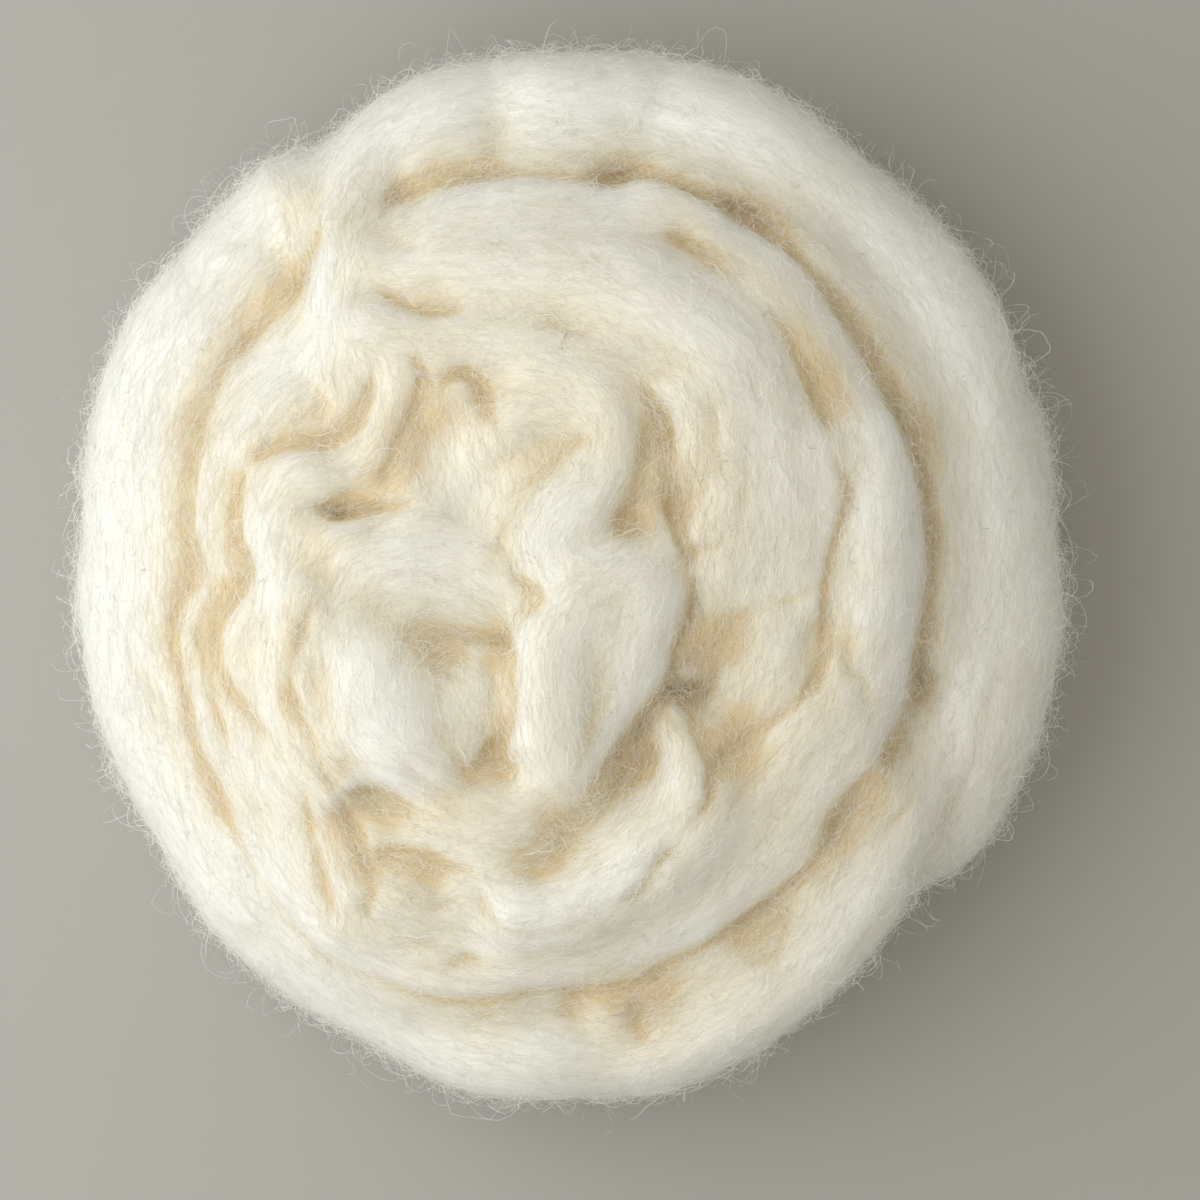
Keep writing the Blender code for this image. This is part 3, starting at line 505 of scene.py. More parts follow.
class Samples:
    """Every lap read at close steps: where it is, how big, which way it runs and how far along."""

    def __init__(self):
        parts = []
        for number, table in enumerate(LAPS):
            r = smooth_rows(table, SAMPLE_STEP)
            spot = np.arange(len(r)) * SAMPLE_STEP / SWELL_LENGTH
            row, apart = SWELL_SPOT
            wave = noise(np.column_stack(np.broadcast_arrays(spot, row, number * apart)))
            r[:, 3] *= 1 + SWELL_SHARE * wave
            r[:, 2] += SWELL_SHARE * wave * r[:, 4]
            middle = np.column_stack((r[:, 0], r[:, 1], r[:, 2] - r[:, 4]))
            steps = np.linalg.norm(np.diff(middle, axis=0), axis=1)
            gone = np.insert(np.cumsum(steps), 0, 0)
            along = unit(np.gradient(middle, axis=0))
            parts.append((middle, r[:, 3], r[:, 4], along, gone, np.full(len(r), number)))
        columns = [np.concatenate(column) for column in zip(*parts)]
        self.middle, self.half_width, self.half_height, self.along, self.gone, self.lap = columns

    def place(self, points, nearest):
        """How far along its lap and how far round it each point lies, in mm, and which lap."""
        away = points - self.middle[nearest]
        along = self.along[nearest]
        half_width, half_height = self.half_width[nearest], self.half_height[nearest]
        u = np.sum(away[:, :2] * unit(side_of(along)), axis=1) / half_width
        v = away[:, 2] / half_height
        gone = self.gone[nearest] + np.sum(away * along, axis=1)
        return gone, np.arctan2(u, v) * (0.5 * (half_width + half_height)), self.lap[nearest]

    def wrinkles(self):
        """Faint wrinkles that run along the visible laps, each a list of rows like a crease's."""
        for i in rng.choice(np.flatnonzero((self.lap > 0) & (self.lap < SHOWN)), WRINKLES):
            at = np.arange(i, min(i + rng.integers(*WRINKLE_SAMPLES), len(self.lap)))
            at = at[self.lap[at] == self.lap[i]]
            if len(at) < SHORTEST_WRINKLE:
                continue
            t = np.linspace(0, 1, len(at))
            start = rng.uniform(-WRINKLE_START, WRINKLE_START)
            drift = rng.uniform(-WRINKLE_DRIFT, WRINKLE_DRIFT)
            sway = np.sin(WRINKLE_TURN * t + rng.uniform(0, WRINKLE_TURN))
            across = start + drift * t + WRINKLE_SWAY * sway
            shift = side_of(self.along[at]) * (across * self.half_width[at])[:, None]
            fade = np.sin(np.pi * (WRINKLE_END + (1 - 2 * WRINKLE_END) * t))
            deep = rng.gamma(*WRINKLE_DEPTH) * fade
            width = WRINKLE_WIDTH[0] + WRINKLE_WIDTH[1] * fade
            yield smooth_rows(np.column_stack((self.middle[at, :2] + shift, width, deep)), CREASE_STEP)


class Field:
    """A grid that holds how far each point is outside the wool, and which sample it is nearest to."""

    def __init__(self, samples):
        self.samples = samples
        self.size = np.ceil((FIELD_HIGH - FIELD_LOW) / CELL).astype(int) + 1
        self.axes = [FIELD_LOW[k] + CELL * np.arange(self.size[k]) for k in range(3)]
        value, first, second = (np.full(self.size, REACH, np.float32) for _ in range(3))
        self.nearest = np.zeros(self.size, np.int32)
        for number in range(len(LAPS)):
            mine = np.full(self.size, REACH, np.float32)
            before = first.copy()
            for i in np.flatnonzero(samples.lap == number):
                self.stamp(mine, first, i, number < SHOWN)
            value = soft_min(value, mine, MELT)
            if number < SHOWN:
                second = np.minimum(second, np.maximum(before, mine))
        self.alone = np.clip((second - first) / LAP_EDGE, 0, 1)
        for x, y, top, radius, half_height in FILLINGS:
            middle, radii = (x, y, top - half_height), (radius, radius, half_height)
            value = soft_min(value, rounded(self.axes, middle, radii, FILLING_POWER), MELT)
        press, self.lines = self.creased()
        # The painted warm shade beside the creases, which only tints the colour
        self.shade = blurred(self.lines, CREASE_SHADE / CREASE_CELL)
        across = np.stack(np.meshgrid(*self.axes[:2], indexing="ij"), axis=-1).reshape(-1, 2)
        press = self.look_up(press, across).reshape(self.size[:2])
        value += CREASE_PRESS * press[:, :, None] * crease_share(self.axes[2]).astype(np.float32)
        value = np.maximum(value, (FLOOR_GAP - self.axes[2]).astype(np.float32))
        self.packed = np.stack((value, *np.gradient(value, CELL)), axis=-1).astype(np.float32)

    def stamp(self, mine, first, i, shows):
        """Puts one sample into its lap's own grid, and where the lap shows, into the grids of the nearest."""
        middle, half_width = self.samples.middle[i], self.samples.half_width[i]
        radii = (half_width, half_width, self.samples.half_height[i])
        reach = np.array(radii) + REACH
        a = np.clip(np.floor((middle - reach - FIELD_LOW) / CELL).astype(int), 0, self.size)
        b = np.clip(np.ceil((middle + reach - FIELD_LOW) / CELL).astype(int) + 1, 0, self.size)
        box = tuple(slice(*ends) for ends in zip(a, b))
        f = rounded([axis[part] for axis, part in zip(self.axes, box)], middle, radii, SECTION_POWER)
        np.minimum(mine[box], f, out=mine[box])
        if shows:
            closer = f < first[box]
            first[box][closer] = f[closer]
            self.nearest[box][closer] = i

    def creased(self):
        """How deep the creases press the laps in, and how strong their lines are, seen from above."""
        count = np.ceil((self.size[:2] - 1) * CELL / CREASE_CELL).astype(int) + 2
        press, lines = np.zeros((2, *count), np.float32)
        axes = [FIELD_LOW[k] + CREASE_CELL * np.arange(count[k]) for k in range(2)]
        for rows in (*map(wavered, CREASES), *self.samples.wrinkles()):
            for x, y, half_width, deep in rows:
                spread = CREASE_SPREAD * half_width
                middle = np.array((x, y))
                a = np.maximum((middle - CREASE_CUT * spread - FIELD_LOW[:2]) // CREASE_CELL, 0)
                b = (middle + CREASE_CUT * spread - FIELD_LOW[:2]) // CREASE_CELL + 2
                box = tuple(slice(int(low), int(high)) for low, high in zip(a, b))
                away = np.hypot((axes[0][box[0]] - x)[:, None], axes[1][box[1]] - y)
                np.maximum(press[box], deep * np.exp(-away / spread), out=press[box])
                np.maximum(lines[box], deep * np.exp(-((away / half_width) ** 2)), out=lines[box])
        return press, lines

    def look_up(self, grid, points):
        """A crease grid's value at N x 2 points."""
        g = np.clip((points - FIELD_LOW[:2]) / CREASE_CELL, 0, np.array(grid.shape) - END_GAP)
        x, y = g.astype(int).T
        f, h = (g - g.astype(int)).T
        near = grid[x, y] * (1 - f) + grid[x + 1, y] * f
        far = grid[x, y + 1] * (1 - f) + grid[x + 1, y + 1] * f
        return near * (1 - h) + far * h

    def crease_at(self, points):
        """How strong the crease lines are at N x 3 points, in mm."""
        return self.look_up(self.lines, points[:, :2]) * crease_share(points[:, 2])

    def at(self, points):
        """Value and slope at N x 3 points."""
        g = np.clip((points - FIELD_LOW) / CELL, 0, self.size - END_GAP)
        cell = g.astype(int)
        total = between(self.packed, cell, (g - cell).astype(np.float32))
        return total[:, 0], total[:, 1:]

    def sample_of(self, points):
        """The lap sample nearest to each point, and how far it lies from the next lap, from 0 to 1."""
        at = np.round((points - FIELD_LOW) / CELL).astype(int)
        spot = tuple(np.clip(at, 0, self.size - 1).T)
        return self.nearest[spot], self.alone[spot]

    def settle(self, points):
        """Moves points onto the skin, and gives the way out of the wool there."""
        for _ in range(SETTLE_STEPS):
            value, slope = self.at(points)
            move = value / np.maximum(np.sum(slope * slope, axis=1), LEAST_SLOPE)
            points = points - slope * np.clip(move, -SETTLE_STRIDE, SETTLE_STRIDE)[:, None]
        return points, unit(self.at(points)[1])

    def relief(self, points, nearest, alone):
        """The height of the combed ridges and soft lumps over the smooth skin, in mm."""
        gone, girth, lap = self.samples.place(points, nearest)
        laps_apart, layers_apart, start = RIDGE_SPOT
        height = np.zeros(len(points))
        for number, (length, width, tall) in enumerate(RIDGES):
            layer = lap * laps_apart + layers_apart * number + start
            height += tall * noise(np.column_stack((gone / length, girth / width, layer))) * alone
        for number, (size, tall) in enumerate(LUMPS):
            height += tall * noise(points / size + LUMP_SPOT * number)
        return height

    def settle_combed(self, points, offset):
        """Puts points on the combed skin, offset above it. Gives them, the way out and their samples."""
        points, out = self.settle(points)
        nearest, alone = self.sample_of(points)
        height = self.relief(points, nearest, alone) - CREASE_LINE * self.crease_at(points)
        points = points + out * (height + offset)[:, None]
        points[:, 2] = np.maximum(points[:, 2], FLOOR_GAP)
        return points, out, nearest

    def clearance(self, points, out):
        """How much room there is over the wool at points, as a share of the reach."""
        total = np.zeros(len(points))
        for reach in OPEN_REACHES:
            total += np.clip(self.at(points + out * reach)[0] / reach, 0, OPEN_CAP) / len(OPEN_REACHES)
        return total

    def set_open_range(self, points, out):
        """Takes from points all over the skin what counts as closed in and as open."""
        self.closed_in, self.wide_open = np.percentile(self.clearance(points, out), OPEN_RANKS)

    def openness(self, points, out):
        """How open the wool lies at points, from 0 to 1, less along crease lines and their blurred shade. The
        colours turn it into painted shade.
        """
        room = (self.clearance(points, out) - self.closed_in) / (self.wide_open - self.closed_in)
        shade = self.look_up(self.shade, points[:, :2]) * crease_share(points[:, 2])
        return np.clip(room - LINE_CLOSES * self.crease_at(points) - SHADE_CLOSES * shade, 0, 1)


# ---- meshes and maps

def skin_mesh(value):
    """Surface nets: one vertex in each cell that the skin crosses, one quad across each crossed edge."""
    inside = value < 0
    n = np.array(value.shape) - 1
    total = np.zeros((*n, 3), np.float32)
    count = np.zeros(n, np.int8)
    for axis in range(3):
        p, q = (k for k in range(3) if k != axis)
        for side in range(4):
            start = [0, 0, 0]
            start[p], start[q] = side & 1, side >> 1
            end = list(start)
            end[axis] = 1
            near, far = (value[tuple(slice(c, c + m) for c, m in zip(at, n))] for at in (start, end))
            where = np.nonzero((near < 0) != (far < 0))
            crossing = np.tile(np.float32(start), (len(where[0]), 1))
            crossing[:, axis] = near[where] / (near[where] - far[where])
            total[where] += crossing
            count[where] += 1
    live = count > 0
    number = np.full(n, -1, np.int64)
    number[live] = np.arange(live.sum())
    verts = FIELD_LOW + CELL * (np.argwhere(live) + total[live] / count[live][:, None])
    quads = []
    for axis in range(3):
        p, q = (axis + 1) % 3, (axis + 2) % 3
        at = np.argwhere(np.diff(inside, axis=axis))
        at = at[(at[:, p] > 0) & (at[:, q] > 0) & (at[:, p] < n[p]) & (at[:, q] < n[q])]
        around = []
        for step_p, step_q in ((-1, -1), (0, -1), (0, 0), (-1, 0)):
            cell = at.copy()
            cell[:, p] += step_p
            cell[:, q] += step_q
            around.append(number[tuple(cell.T)])
        quad = np.stack(around, axis=1)
        inward = ~inside[tuple(at.T)]
        quad[inward] = quad[inward, ::-1]
        quads.append(quad)
    return verts, np.vstack(quads)


def relax(verts, quads):
    """Evens out the net's vertices among their neighbours."""
    ahead = np.roll(quads, -1, axis=1)
    ends = np.concatenate((quads, ahead)).ravel()
    others = np.concatenate((ahead, quads)).ravel()
    count = np.bincount(ends)
    for _ in range(RELAX_STEPS):
        mean = np.column_stack([np.bincount(ends, weights=verts[others, k]) / count for k in range(3)])
        verts = (1 - RELAX_SHARE) * verts + RELAX_SHARE * mean
    return verts


def new_mesh(name, verts, faces, mat):
    """A smooth mesh object from numpy arrays, with all faces of one size."""
    mesh = bpy.data.meshes.new(name)
    mesh.vertices.add(len(verts))
    mesh.vertices.foreach_set("co", (verts * MM).astype(np.float32).ravel())
    mesh.loops.add(faces.size)
    mesh.loops.foreach_set("vertex_index", faces.astype(np.int32).ravel())
    mesh.polygons.add(len(faces))
    mesh.polygons.foreach_set("loop_start", np.arange(0, faces.size, faces.shape[1], dtype=np.int32))
    mesh.update(calc_edges=True)
    mesh.polygons.foreach_set("use_smooth", np.ones(len(faces), bool))
    mesh.materials.append(mat)
    ob = bpy.data.objects.new(name, mesh)
    bpy.context.scene.collection.objects.link(ob)
    return ob


def set_map(ob, name, uv):
    """A UV map from one pair for each face corner."""
    layer = ob.data.uv_layers.new(name=name)
    layer.uv.foreach_set("vector", uv.astype(np.float32).ravel())


def box_map(verts, faces, normals):
    """A map for baking: each face laid flat on the side of a box that it faces, six charts in a grid."""
    axis = np.argmax(np.abs(normals), axis=1)
    chart = axis * 2 + (normals[np.arange(len(faces)), axis] > 0)
    part = (verts - FIELD_LOW) / (FIELD_HIGH - FIELD_LOW)
    uv = np.zeros((*faces.shape, 2))
    for k in range(3):
        mine = axis == k
        uv[mine] = part[faces[mine]][:, :, ((k + 1) % 3, (k + 2) % 3)]
    uv[..., 0] = (uv[..., 0] + (chart % 3)[:, None]) / 3
    uv[..., 1] = (uv[..., 1] + (chart // 3)[:, None]) / 2
    return uv


# ---- materials

# Colour ramps that paint the shade of creases and hollows, and the wool's own varied tone: from closed in,
# warm and darker, to open and white
LOOSE_TONE_AND_SHADE = (
    (0.0, (0.79, 0.685, 0.47)), (0.22, (0.872, 0.83, 0.715)), (0.5, (0.91, 0.892, 0.83)),
    (0.85, (0.925, 0.926, 0.90)),
)
PACKED_MOTTLE_AND_SHADE = (
    (0.0, (0.73, 0.59, 0.36)), (0.2, (0.833, 0.775, 0.635)), (0.5, (0.88, 0.857, 0.78)),
    (0.8, (0.91, 0.906, 0.86)),
)
STREAK_TINTS = ((0.34, (0.84, 0.82, 0.775)), (0.60, (1.0, 1.0, 1.0)))
WOOL_GLOSS = {"Specular IOR Level": 0.2, "Sheen Weight": 0.2, "Sheen Roughness": 0.5}
MOTTLE_SHARE = 0.35  # how much the mottling adds to the tint, at most
MOTTLE_MIDDLE = 0.17  # how much it adds on the whole, which is taken off again
GRAIN = (0.30, 2.8)  # grain cells in each mm along and round a lap


def set_inputs(node, values):
    """A node with the inputs set that a table names."""
    for name, value in values.items():
        node.inputs[name].default_value = value
    return node


def material_of(name, values):
    """A new material, and its shader with some inputs set."""
    mat = bpy.data.materials.new(name)
    mat.use_nodes = True
    return mat, set_inputs(mat.node_tree.nodes["Principled BSDF"], values)


def node_of(mat, kind, inputs=None, **settings):
    """A new node of a material, with some of its settings and inputs set."""
    node = mat.node_tree.nodes.new("ShaderNode" + kind)
    for name, value in settings.items():
        setattr(node, name, value)
    return set_inputs(node, inputs or {})


def ramp_of(mat, stops):
    """A colour ramp from (place, colour) stops."""
    ramp = node_of(mat, "ValToRGB")
    elements = ramp.color_ramp.elements
    while len(elements) < len(stops):
        elements.new(0.5)
    for element, (place, colour) in zip(elements, stops):
        element.position = place
        element.color = (*colour, 1)
    return ramp


def link(mat, *links):
    """Joins a material's nodes, each link as node, output, node, input."""
    for source, output, target, place in links:
        mat.node_tree.links.new(source.outputs[output], target.inputs[place])


def loose_material():
    """Loose fibres, whose tint runs with the map's first coordinate, which holds each fibre's own tone and a
    painted shade, and light shines through them.
    """
    mat, shader = material_of("loose_wool", {"Roughness": 0.6, **WOOL_GLOSS})
    uv = node_of(mat, "UVMap", uv_map="OFBake")
    part = node_of(mat, "SeparateXYZ")
    ramp = ramp_of(mat, LOOSE_TONE_AND_SHADE)
    through = node_of(mat, "BsdfTranslucent")
    mix = node_of(mat, "MixShader", {"Fac": 0.5})
    link(mat, (uv, "UV", part, 0), (part, "X", ramp, "Fac"), (ramp, "Color", shader, "Base Color"),
         (ramp, "Color", through, "Color"), (shader, 0, mix, 1), (through, 0, mix, 2),
         (mix, 0, mat.node_tree.nodes["Material Output"], "Surface"))
    return mat


def packed_material():
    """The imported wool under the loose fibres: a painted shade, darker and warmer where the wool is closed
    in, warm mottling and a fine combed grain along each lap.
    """
    mat, shader = material_of("packed_wool", {"Roughness": 0.8, **WOOL_GLOSS})
    place = node_of(mat, "TexCoord")
    mottle = node_of(mat, "TexNoise", {"Scale": 45.0, "Detail": 3.0})
    # Painted shade: the skin's openness picks darker, warmer colours in creases and hollows
    painted_shade = node_of(mat, "Attribute", attribute_name="open")
    lower = node_of(mat, "Math", {1: MOTTLE_MIDDLE}, operation="SUBTRACT")
    blend = node_of(mat, "Math", {1: MOTTLE_SHARE}, operation="MULTIPLY_ADD")
    ramp = ramp_of(mat, PACKED_MOTTLE_AND_SHADE)
    link(mat, (place, "Object", mottle, "Vector"), (mottle, "Fac", blend, 0), (painted_shade, "Fac", lower, 0),
         (lower, 0, blend, 2), (blend, 0, ramp, "Fac"))
    comb = node_of(mat, "UVMap", uv_map="comb")
    grain = node_of(mat, "TexNoise", {"Scale": 1.0, "Detail": 4.0, "Roughness": 0.65, "Distortion": 1.4})
    streak = ramp_of(mat, STREAK_TINTS)
    tint = node_of(mat, "Mix", {"Factor": 0.5}, data_type="RGBA", blend_type="MULTIPLY")
    bump = node_of(mat, "Bump", {"Strength": 0.5, "Distance": 0.0004})
    link(mat, (comb, "UV", grain, "Vector"), (grain, "Fac", streak, "Fac"), (ramp, "Color", tint, "A"),
         (streak, "Color", tint, "B"), (tint, "Result", shader, "Base Color"),
         (grain, "Fac", bump, "Height"), (bump, "Normal", shader, "Normal"))
    return mat


# ---- the skin

def make_skin(field):
    """The skin's object, its vertices in mm and its faces."""
    verts, faces = skin_mesh(field.packed[..., 0])
    verts, _ = field.settle(relax(verts, faces))
    verts, out, _ = field.settle_combed(verts, 0)
    upper = verts[:, 2] > CREASE_FULL
    field.set_open_range(verts[upper], out[upper])
    ob = new_mesh("packed_wool", verts, faces, packed_material())
    # Painted shade: how open the wool lies at each vertex, which the material turns into darker, warmer
    # colour in creases and hollows
    layer = ob.data.attributes.new("open", "FLOAT", "POINT")
    layer.data.foreach_set("value", field.openness(verts, out).astype(np.float32))
    normals = np.zeros(len(faces) * 3, np.float32)
    ob.data.polygons.foreach_get("normal", normals)
    set_map(ob, "OFBake", box_map(verts, faces, normals.reshape(-1, 3)))
    nearest, _ = field.sample_of(verts[faces].mean(axis=1))
    comb = np.zeros((*faces.shape, 2))
    for k in range(faces.shape[1]):
        gone, girth, lap = field.samples.place(verts[faces[:, k]], nearest)
        comb[:, k, 0] = gone * GRAIN[0] + lap * GRAIN_SPOT
        comb[:, k, 1] = girth * GRAIN[1]
    set_map(ob, "comb", comb)
    return ob, verts, faces


# ---- the fibres

class Kind(NamedTuple):
    """One kind of fibre. The pairs are ranges, in mm where nothing else is said."""

    names: tuple  # of its pieces
    count: int  # of fibres in each piece
    steps: int  # along each fibre
    length: tuple
    crimp: tuple  # how far a fibre waves to the side
    wave: tuple  # the length of a wave
    wave_is_share: bool  # of the fibre's length, and not in mm
    width: tuple
    roll: float  # radians either way, that a fibre's strip is turned about its own line
    tint: tuple  # from warm, 0, to white, 1


COMBED = Kind(("combed_fibres_1", "combed_fibres_2", "combed_fibres_3", "combed_fibres_4"), 8800, 7,
              (5, 10), (0.12, 0.42), (3, 5), False, (0.08, 0.13), 0.9, (0.02, 0.48))
FUZZ = Kind(("fuzz_1", "fuzz_2"), 10300, 5,
            (2.5, 6.5), (0.15, 0.6), (2, 4.5), False, (0.06, 0.10), 1, (0.15, 0.5))
STRAY = Kind(("stray_fibres",), 6800, 8,
             (4, 9), (0.3, 1.1), (0.45, 0.9), True, (0.07, 0.12), 1.5, (0.3, 0.6))

COMB_HOLD = 0.45  # how much of a fibre's heading stays as it is at each step
CRIMP_RISE = 0.4  # how high a crimp rises, as a share of its width
RISE_WAVES = 0.83  # how often it rises in each wave to the side
TIP_WIDTH = 0.25  # the width at a fibre's ends, as a share of that in its middle
PAINTED_SHADE_SPAN = 0.62  # painted shade: how much lighter the fibres of open wool are than those of closed in wool, on the colour ramp
TINTS = (0.02, 0.98)
UNDERSIDE = -0.5  # skin that faces down more than this has only a share of the fibres
UNDERSIDE_SHARE = 0.12
FOOT = 6  # mm, the height under which there are fewer too
FOOT_SHARE = 0.5

# The combed fibres: the spread of their angles off the comb and of their heights over the skin, and how much
# is added where one lies loose
LOOSE_SHARE = 0.25
COMBED_ANGLE = (0.24, 0.7)
COMBED_LIFT = (0.12, 0.6)
COMBED_GAP = 0.03
LIFT_WAVES = (0.5, 1.6)  # how many times one rises and falls, and by what share
LIFT_WAVE = 0.5
THICK_SHARE = 0.2
THICKER = 1.4
TINT_SPREAD = 1.3  # 1 is even, and more keeps the tints nearer the middle of their range

# The fuzz, which lies thicker and higher over the creases, up to the deepest that count
FUZZ_ANGLE = 0.8
FUZZ_LIFT = (1.5, 0.45)  # the shape and scale of the random height
FUZZ_GAP = 0.05
DEEPEST = 4
FUZZ_IN_CREASES = 2.0
HIGHER_IN_CREASES = 0.4

# The stray fibres: some are long, a few stand high, and most are loops that come down again
STRAY_ANGLE = 1.1
STRAY_LIFT = (1.6, 0.9)
STRAY_GAP = 0.1
HIGHEST_STRAY = 8
LONG_STRAYS = (0.25, 2.0)  # the share, and how much longer
HIGH_STRAYS = (0.12, 2.2)
LOOPS = 0.7
LOOP_FULLNESS = 0.8
END_RISE = 1.3
STRAY_UNDERSIDE = -0.3
STRAY_CHANCES = (0.05, 0.15, 1.2)  # underneath, on top, and how much more on the steepest sides

# Where the stray fibres stand off in tufts. Columns, in mm: x, y, spread, share
TUFTS = (
    (92, 36, 8, 7), (95, 22, 7, 7), (97, -8, 9, 4), (92, -36, 10, 3), (80, -54, 9, 3), (68, -62, 6, 5),
    (56, -76, 9, 3), (36, -92, 10, 3), (-30, -94, 14, 2), (-60, -80, 10, 5), (-72, -66, 9, 5),
    (-90, -40, 9, 3), (-97, -5, 12, 3), (-96, 22, 10, 4), (-88, 46, 8, 3), (-72, 68, 10, 3),
    (-58, 84, 9, 5), (-40, 95, 9, 4), (-12, 104, 12, 4), (20, 103, 12, 3), (48, 94, 9, 4), (70, 72, 10, 4),
    (84, 52, 8, 3),
)


def turned(vectors, about, angle):
    """Vectors turned about unit axes by angles."""
    c, s = np.cos(angle)[:, None], np.sin(angle)[:, None]
    dot = np.sum(vectors * about, axis=1)[:, None]
    return vectors * c + np.cross(about, vectors) * s + about * dot * (1 - c)


def flattened(vectors, out):
    """Vectors laid flat on the skin and made one long."""
    return unit(vectors - out * np.sum(vectors * out, axis=1)[:, None])


def comb_lines(field, starts, lengths, stray, lift):
    """Lines that start on the skin and follow the laps. stray is each line's angle off the comb, in radians,
    and lift its height over the skin at every point, in mm."""
    steps = lift.shape[1] - 1
    along = field.samples.along
    points, out, nearest = field.settle_combed(starts, lift[:, 0])
    heading = along[nearest] * np.where(rng.random(len(starts)) < 0.5, -1, 1)[:, None]
    heading = turned(flattened(heading, out), out, stray)
    lines, outs = [points], [out]
    bare = points - out * lift[:, :1]
    for k in range(steps):
        comb = along[field.sample_of(bare)[0]]
        comb = comb * np.where(np.sum(comb * heading, axis=1) < 0, -1, 1)[:, None]
        comb = turned(flattened(comb, out), out, stray)
        heading = flattened(unit(COMB_HOLD * heading + (1 - COMB_HOLD) * comb), out)
        bare = bare + heading * (lengths / steps)[:, None]
        points, out, _ = field.settle_combed(bare, lift[:, k + 1])
        bare = points - out * lift[:, k + 1:k + 2]
        lines.append(points)
        outs.append(out)
    return np.stack(lines, axis=1), np.stack(outs, axis=1)


def curled(lines, outs, amount, waves):
    """Lines with a sideways crimp of amount mm, in the given number of waves."""
    count, points = lines.shape[:2]
    at = np.linspace(0, 1, points) * waves[:, None]
    side = unit(np.cross(outs, np.gradient(lines, axis=1)))
    sway = np.sin(2 * np.pi * (at + rng.random((count, 1))))
    rise = np.sin(2 * np.pi * (at * RISE_WAVES + rng.random((count, 1))))
    amount = amount[:, None]
    return lines + side * (amount * sway)[..., None] + outs * (CRIMP_RISE * amount * (1 + rise))[..., None]


def ribbons(lines, outs, widths, roll):
    """Flat strips along lines: N x K points, their ways out, N widths in mm and a roll for each."""
    count, points = lines.shape[:2]
    along = unit(np.gradient(lines, axis=1))
    side = unit(np.cross(outs, along))
    side = side * np.cos(roll)[:, None, None] + np.cross(along, side) * np.sin(roll)[:, None, None]
    at = np.linspace(0, 1, points)
    taper = TIP_WIDTH + (1 - TIP_WIDTH) * np.clip(4 * at * (1 - at), 0, 1) ** 0.5
    half = 0.5 * widths[:, None, None] * taper[None, :, None]
    verts = np.stack((lines - side * half, lines + side * half), axis=2).reshape(-1, 3)
    first = (np.arange(count)[:, None] * points * 2 + np.arange(points - 1) * 2).ravel()
    return verts, np.column_stack((first, first + 1, first + 3, first + 2))


def tint_map(tints, points):
    """The map of ribbons: each line's tint, its own tone with the painted shade added, one way, and the place
    along it the other way.
    """
    at = np.linspace(*TINTS, points)
    uv = np.zeros((len(tints), points - 1, 4, 2))
    uv[..., 0] = tints[:, None, None]
    uv[:, :, :2, 1] = at[:-1, None]
    uv[:, :, 2:, 1] = at[1:, None]
    return uv


def scatter(verts, faces, count, weight):
    """Random points on the skin's faces, with each face's area times weight as its chance."""
    quad = verts[faces]
    cross = np.cross(quad[:, 2] - quad[:, 0], quad[:, 3] - quad[:, 1])
    area = 0.5 * np.linalg.norm(cross, axis=1)
    chance = area * weight(quad.mean(axis=1), unit(cross))
    picked = rng.choice(len(faces), size=count, p=chance / chance.sum())
    a, b = rng.random(count)[:, None], rng.random(count)[:, None]
    q = quad[picked]
    low = q[:, 0] * (1 - a) + q[:, 1] * a
    high = q[:, 3] * (1 - a) + q[:, 2] * a
    return low * (1 - b) + high * b


def some(share, n, value):
    """value for a random share of n, and 1 for the rest."""
    return np.where(rng.random(n) < share, value, 1.0)


def lay(field, mat, kind, name, starts, lengths, stray, lift):
    """One piece of fibres that start at given places on the skin."""
    n = kind.count
    combed = kind is COMBED
    lines, outs = comb_lines(field, starts, lengths, stray, lift)
    crimp = rng.uniform(*kind.crimp, n)
    wave = rng.uniform(*kind.wave, n) * (lengths if kind.wave_is_share else 1)
    lines = curled(lines, outs, crimp, lengths / wave)
    widths = rng.uniform(*kind.width, n) * (some(THICK_SHARE, n, THICKER) if combed else 1)
    roll = rng.uniform(-kind.roll, kind.roll, n)
    least, most = kind.tint
    tints = least + (most - least) * (rng.beta(TINT_SPREAD, TINT_SPREAD, n) if combed else rng.random(n))
    lines[..., 2] = np.maximum(lines[..., 2], FLOOR_GAP)
    ob = new_mesh(name, *ribbons(lines, outs, widths, roll), mat)
    middle = lines.shape[1] // 2
    # Painted shade: fibres where the wool is closed in take darker, warmer tints
    tints = tints + PAINTED_SHADE_SPAN * field.openness(lines[:, middle], outs[:, middle])
    set_map(ob, "OFBake", tint_map(np.clip(tints, *TINTS), lines.shape[1]))
    return ob


def seen(middle, normal):
    """Where fibres are worth laying: everywhere but the flat foot."""
    under = np.where(normal[:, 2] < UNDERSIDE, UNDERSIDE_SHARE, 1.0)
    return under * np.where(middle[:, 2] < FOOT, FOOT_SHARE, 1.0)


def combed_fibres(field, skin, mat):
    """Fibres that follow the laps, most of them close to the skin."""
    n = COMBED.count
    at = np.linspace(0, 1, COMBED.steps + 1)
    for name in COMBED.names:
        starts = scatter(*skin, n, seen)
        lengths = rng.uniform(*COMBED.length, n)
        loose = rng.random(n) < LOOSE_SHARE
        stray = rng.normal(0, COMBED_ANGLE[0], n) + np.where(loose, rng.normal(0, COMBED_ANGLE[1], n), 0)
        base = rng.exponential(COMBED_LIFT[0], n) + np.where(loose, rng.exponential(COMBED_LIFT[1], n), 0)
        wave = np.sin(2 * np.pi * (at * rng.uniform(*LIFT_WAVES, (n, 1)) + rng.random((n, 1))))
        lift = base[:, None] * (1 + LIFT_WAVE * wave) + COMBED_GAP
        yield lay(field, mat, COMBED, name, starts, lengths, stray, lift)


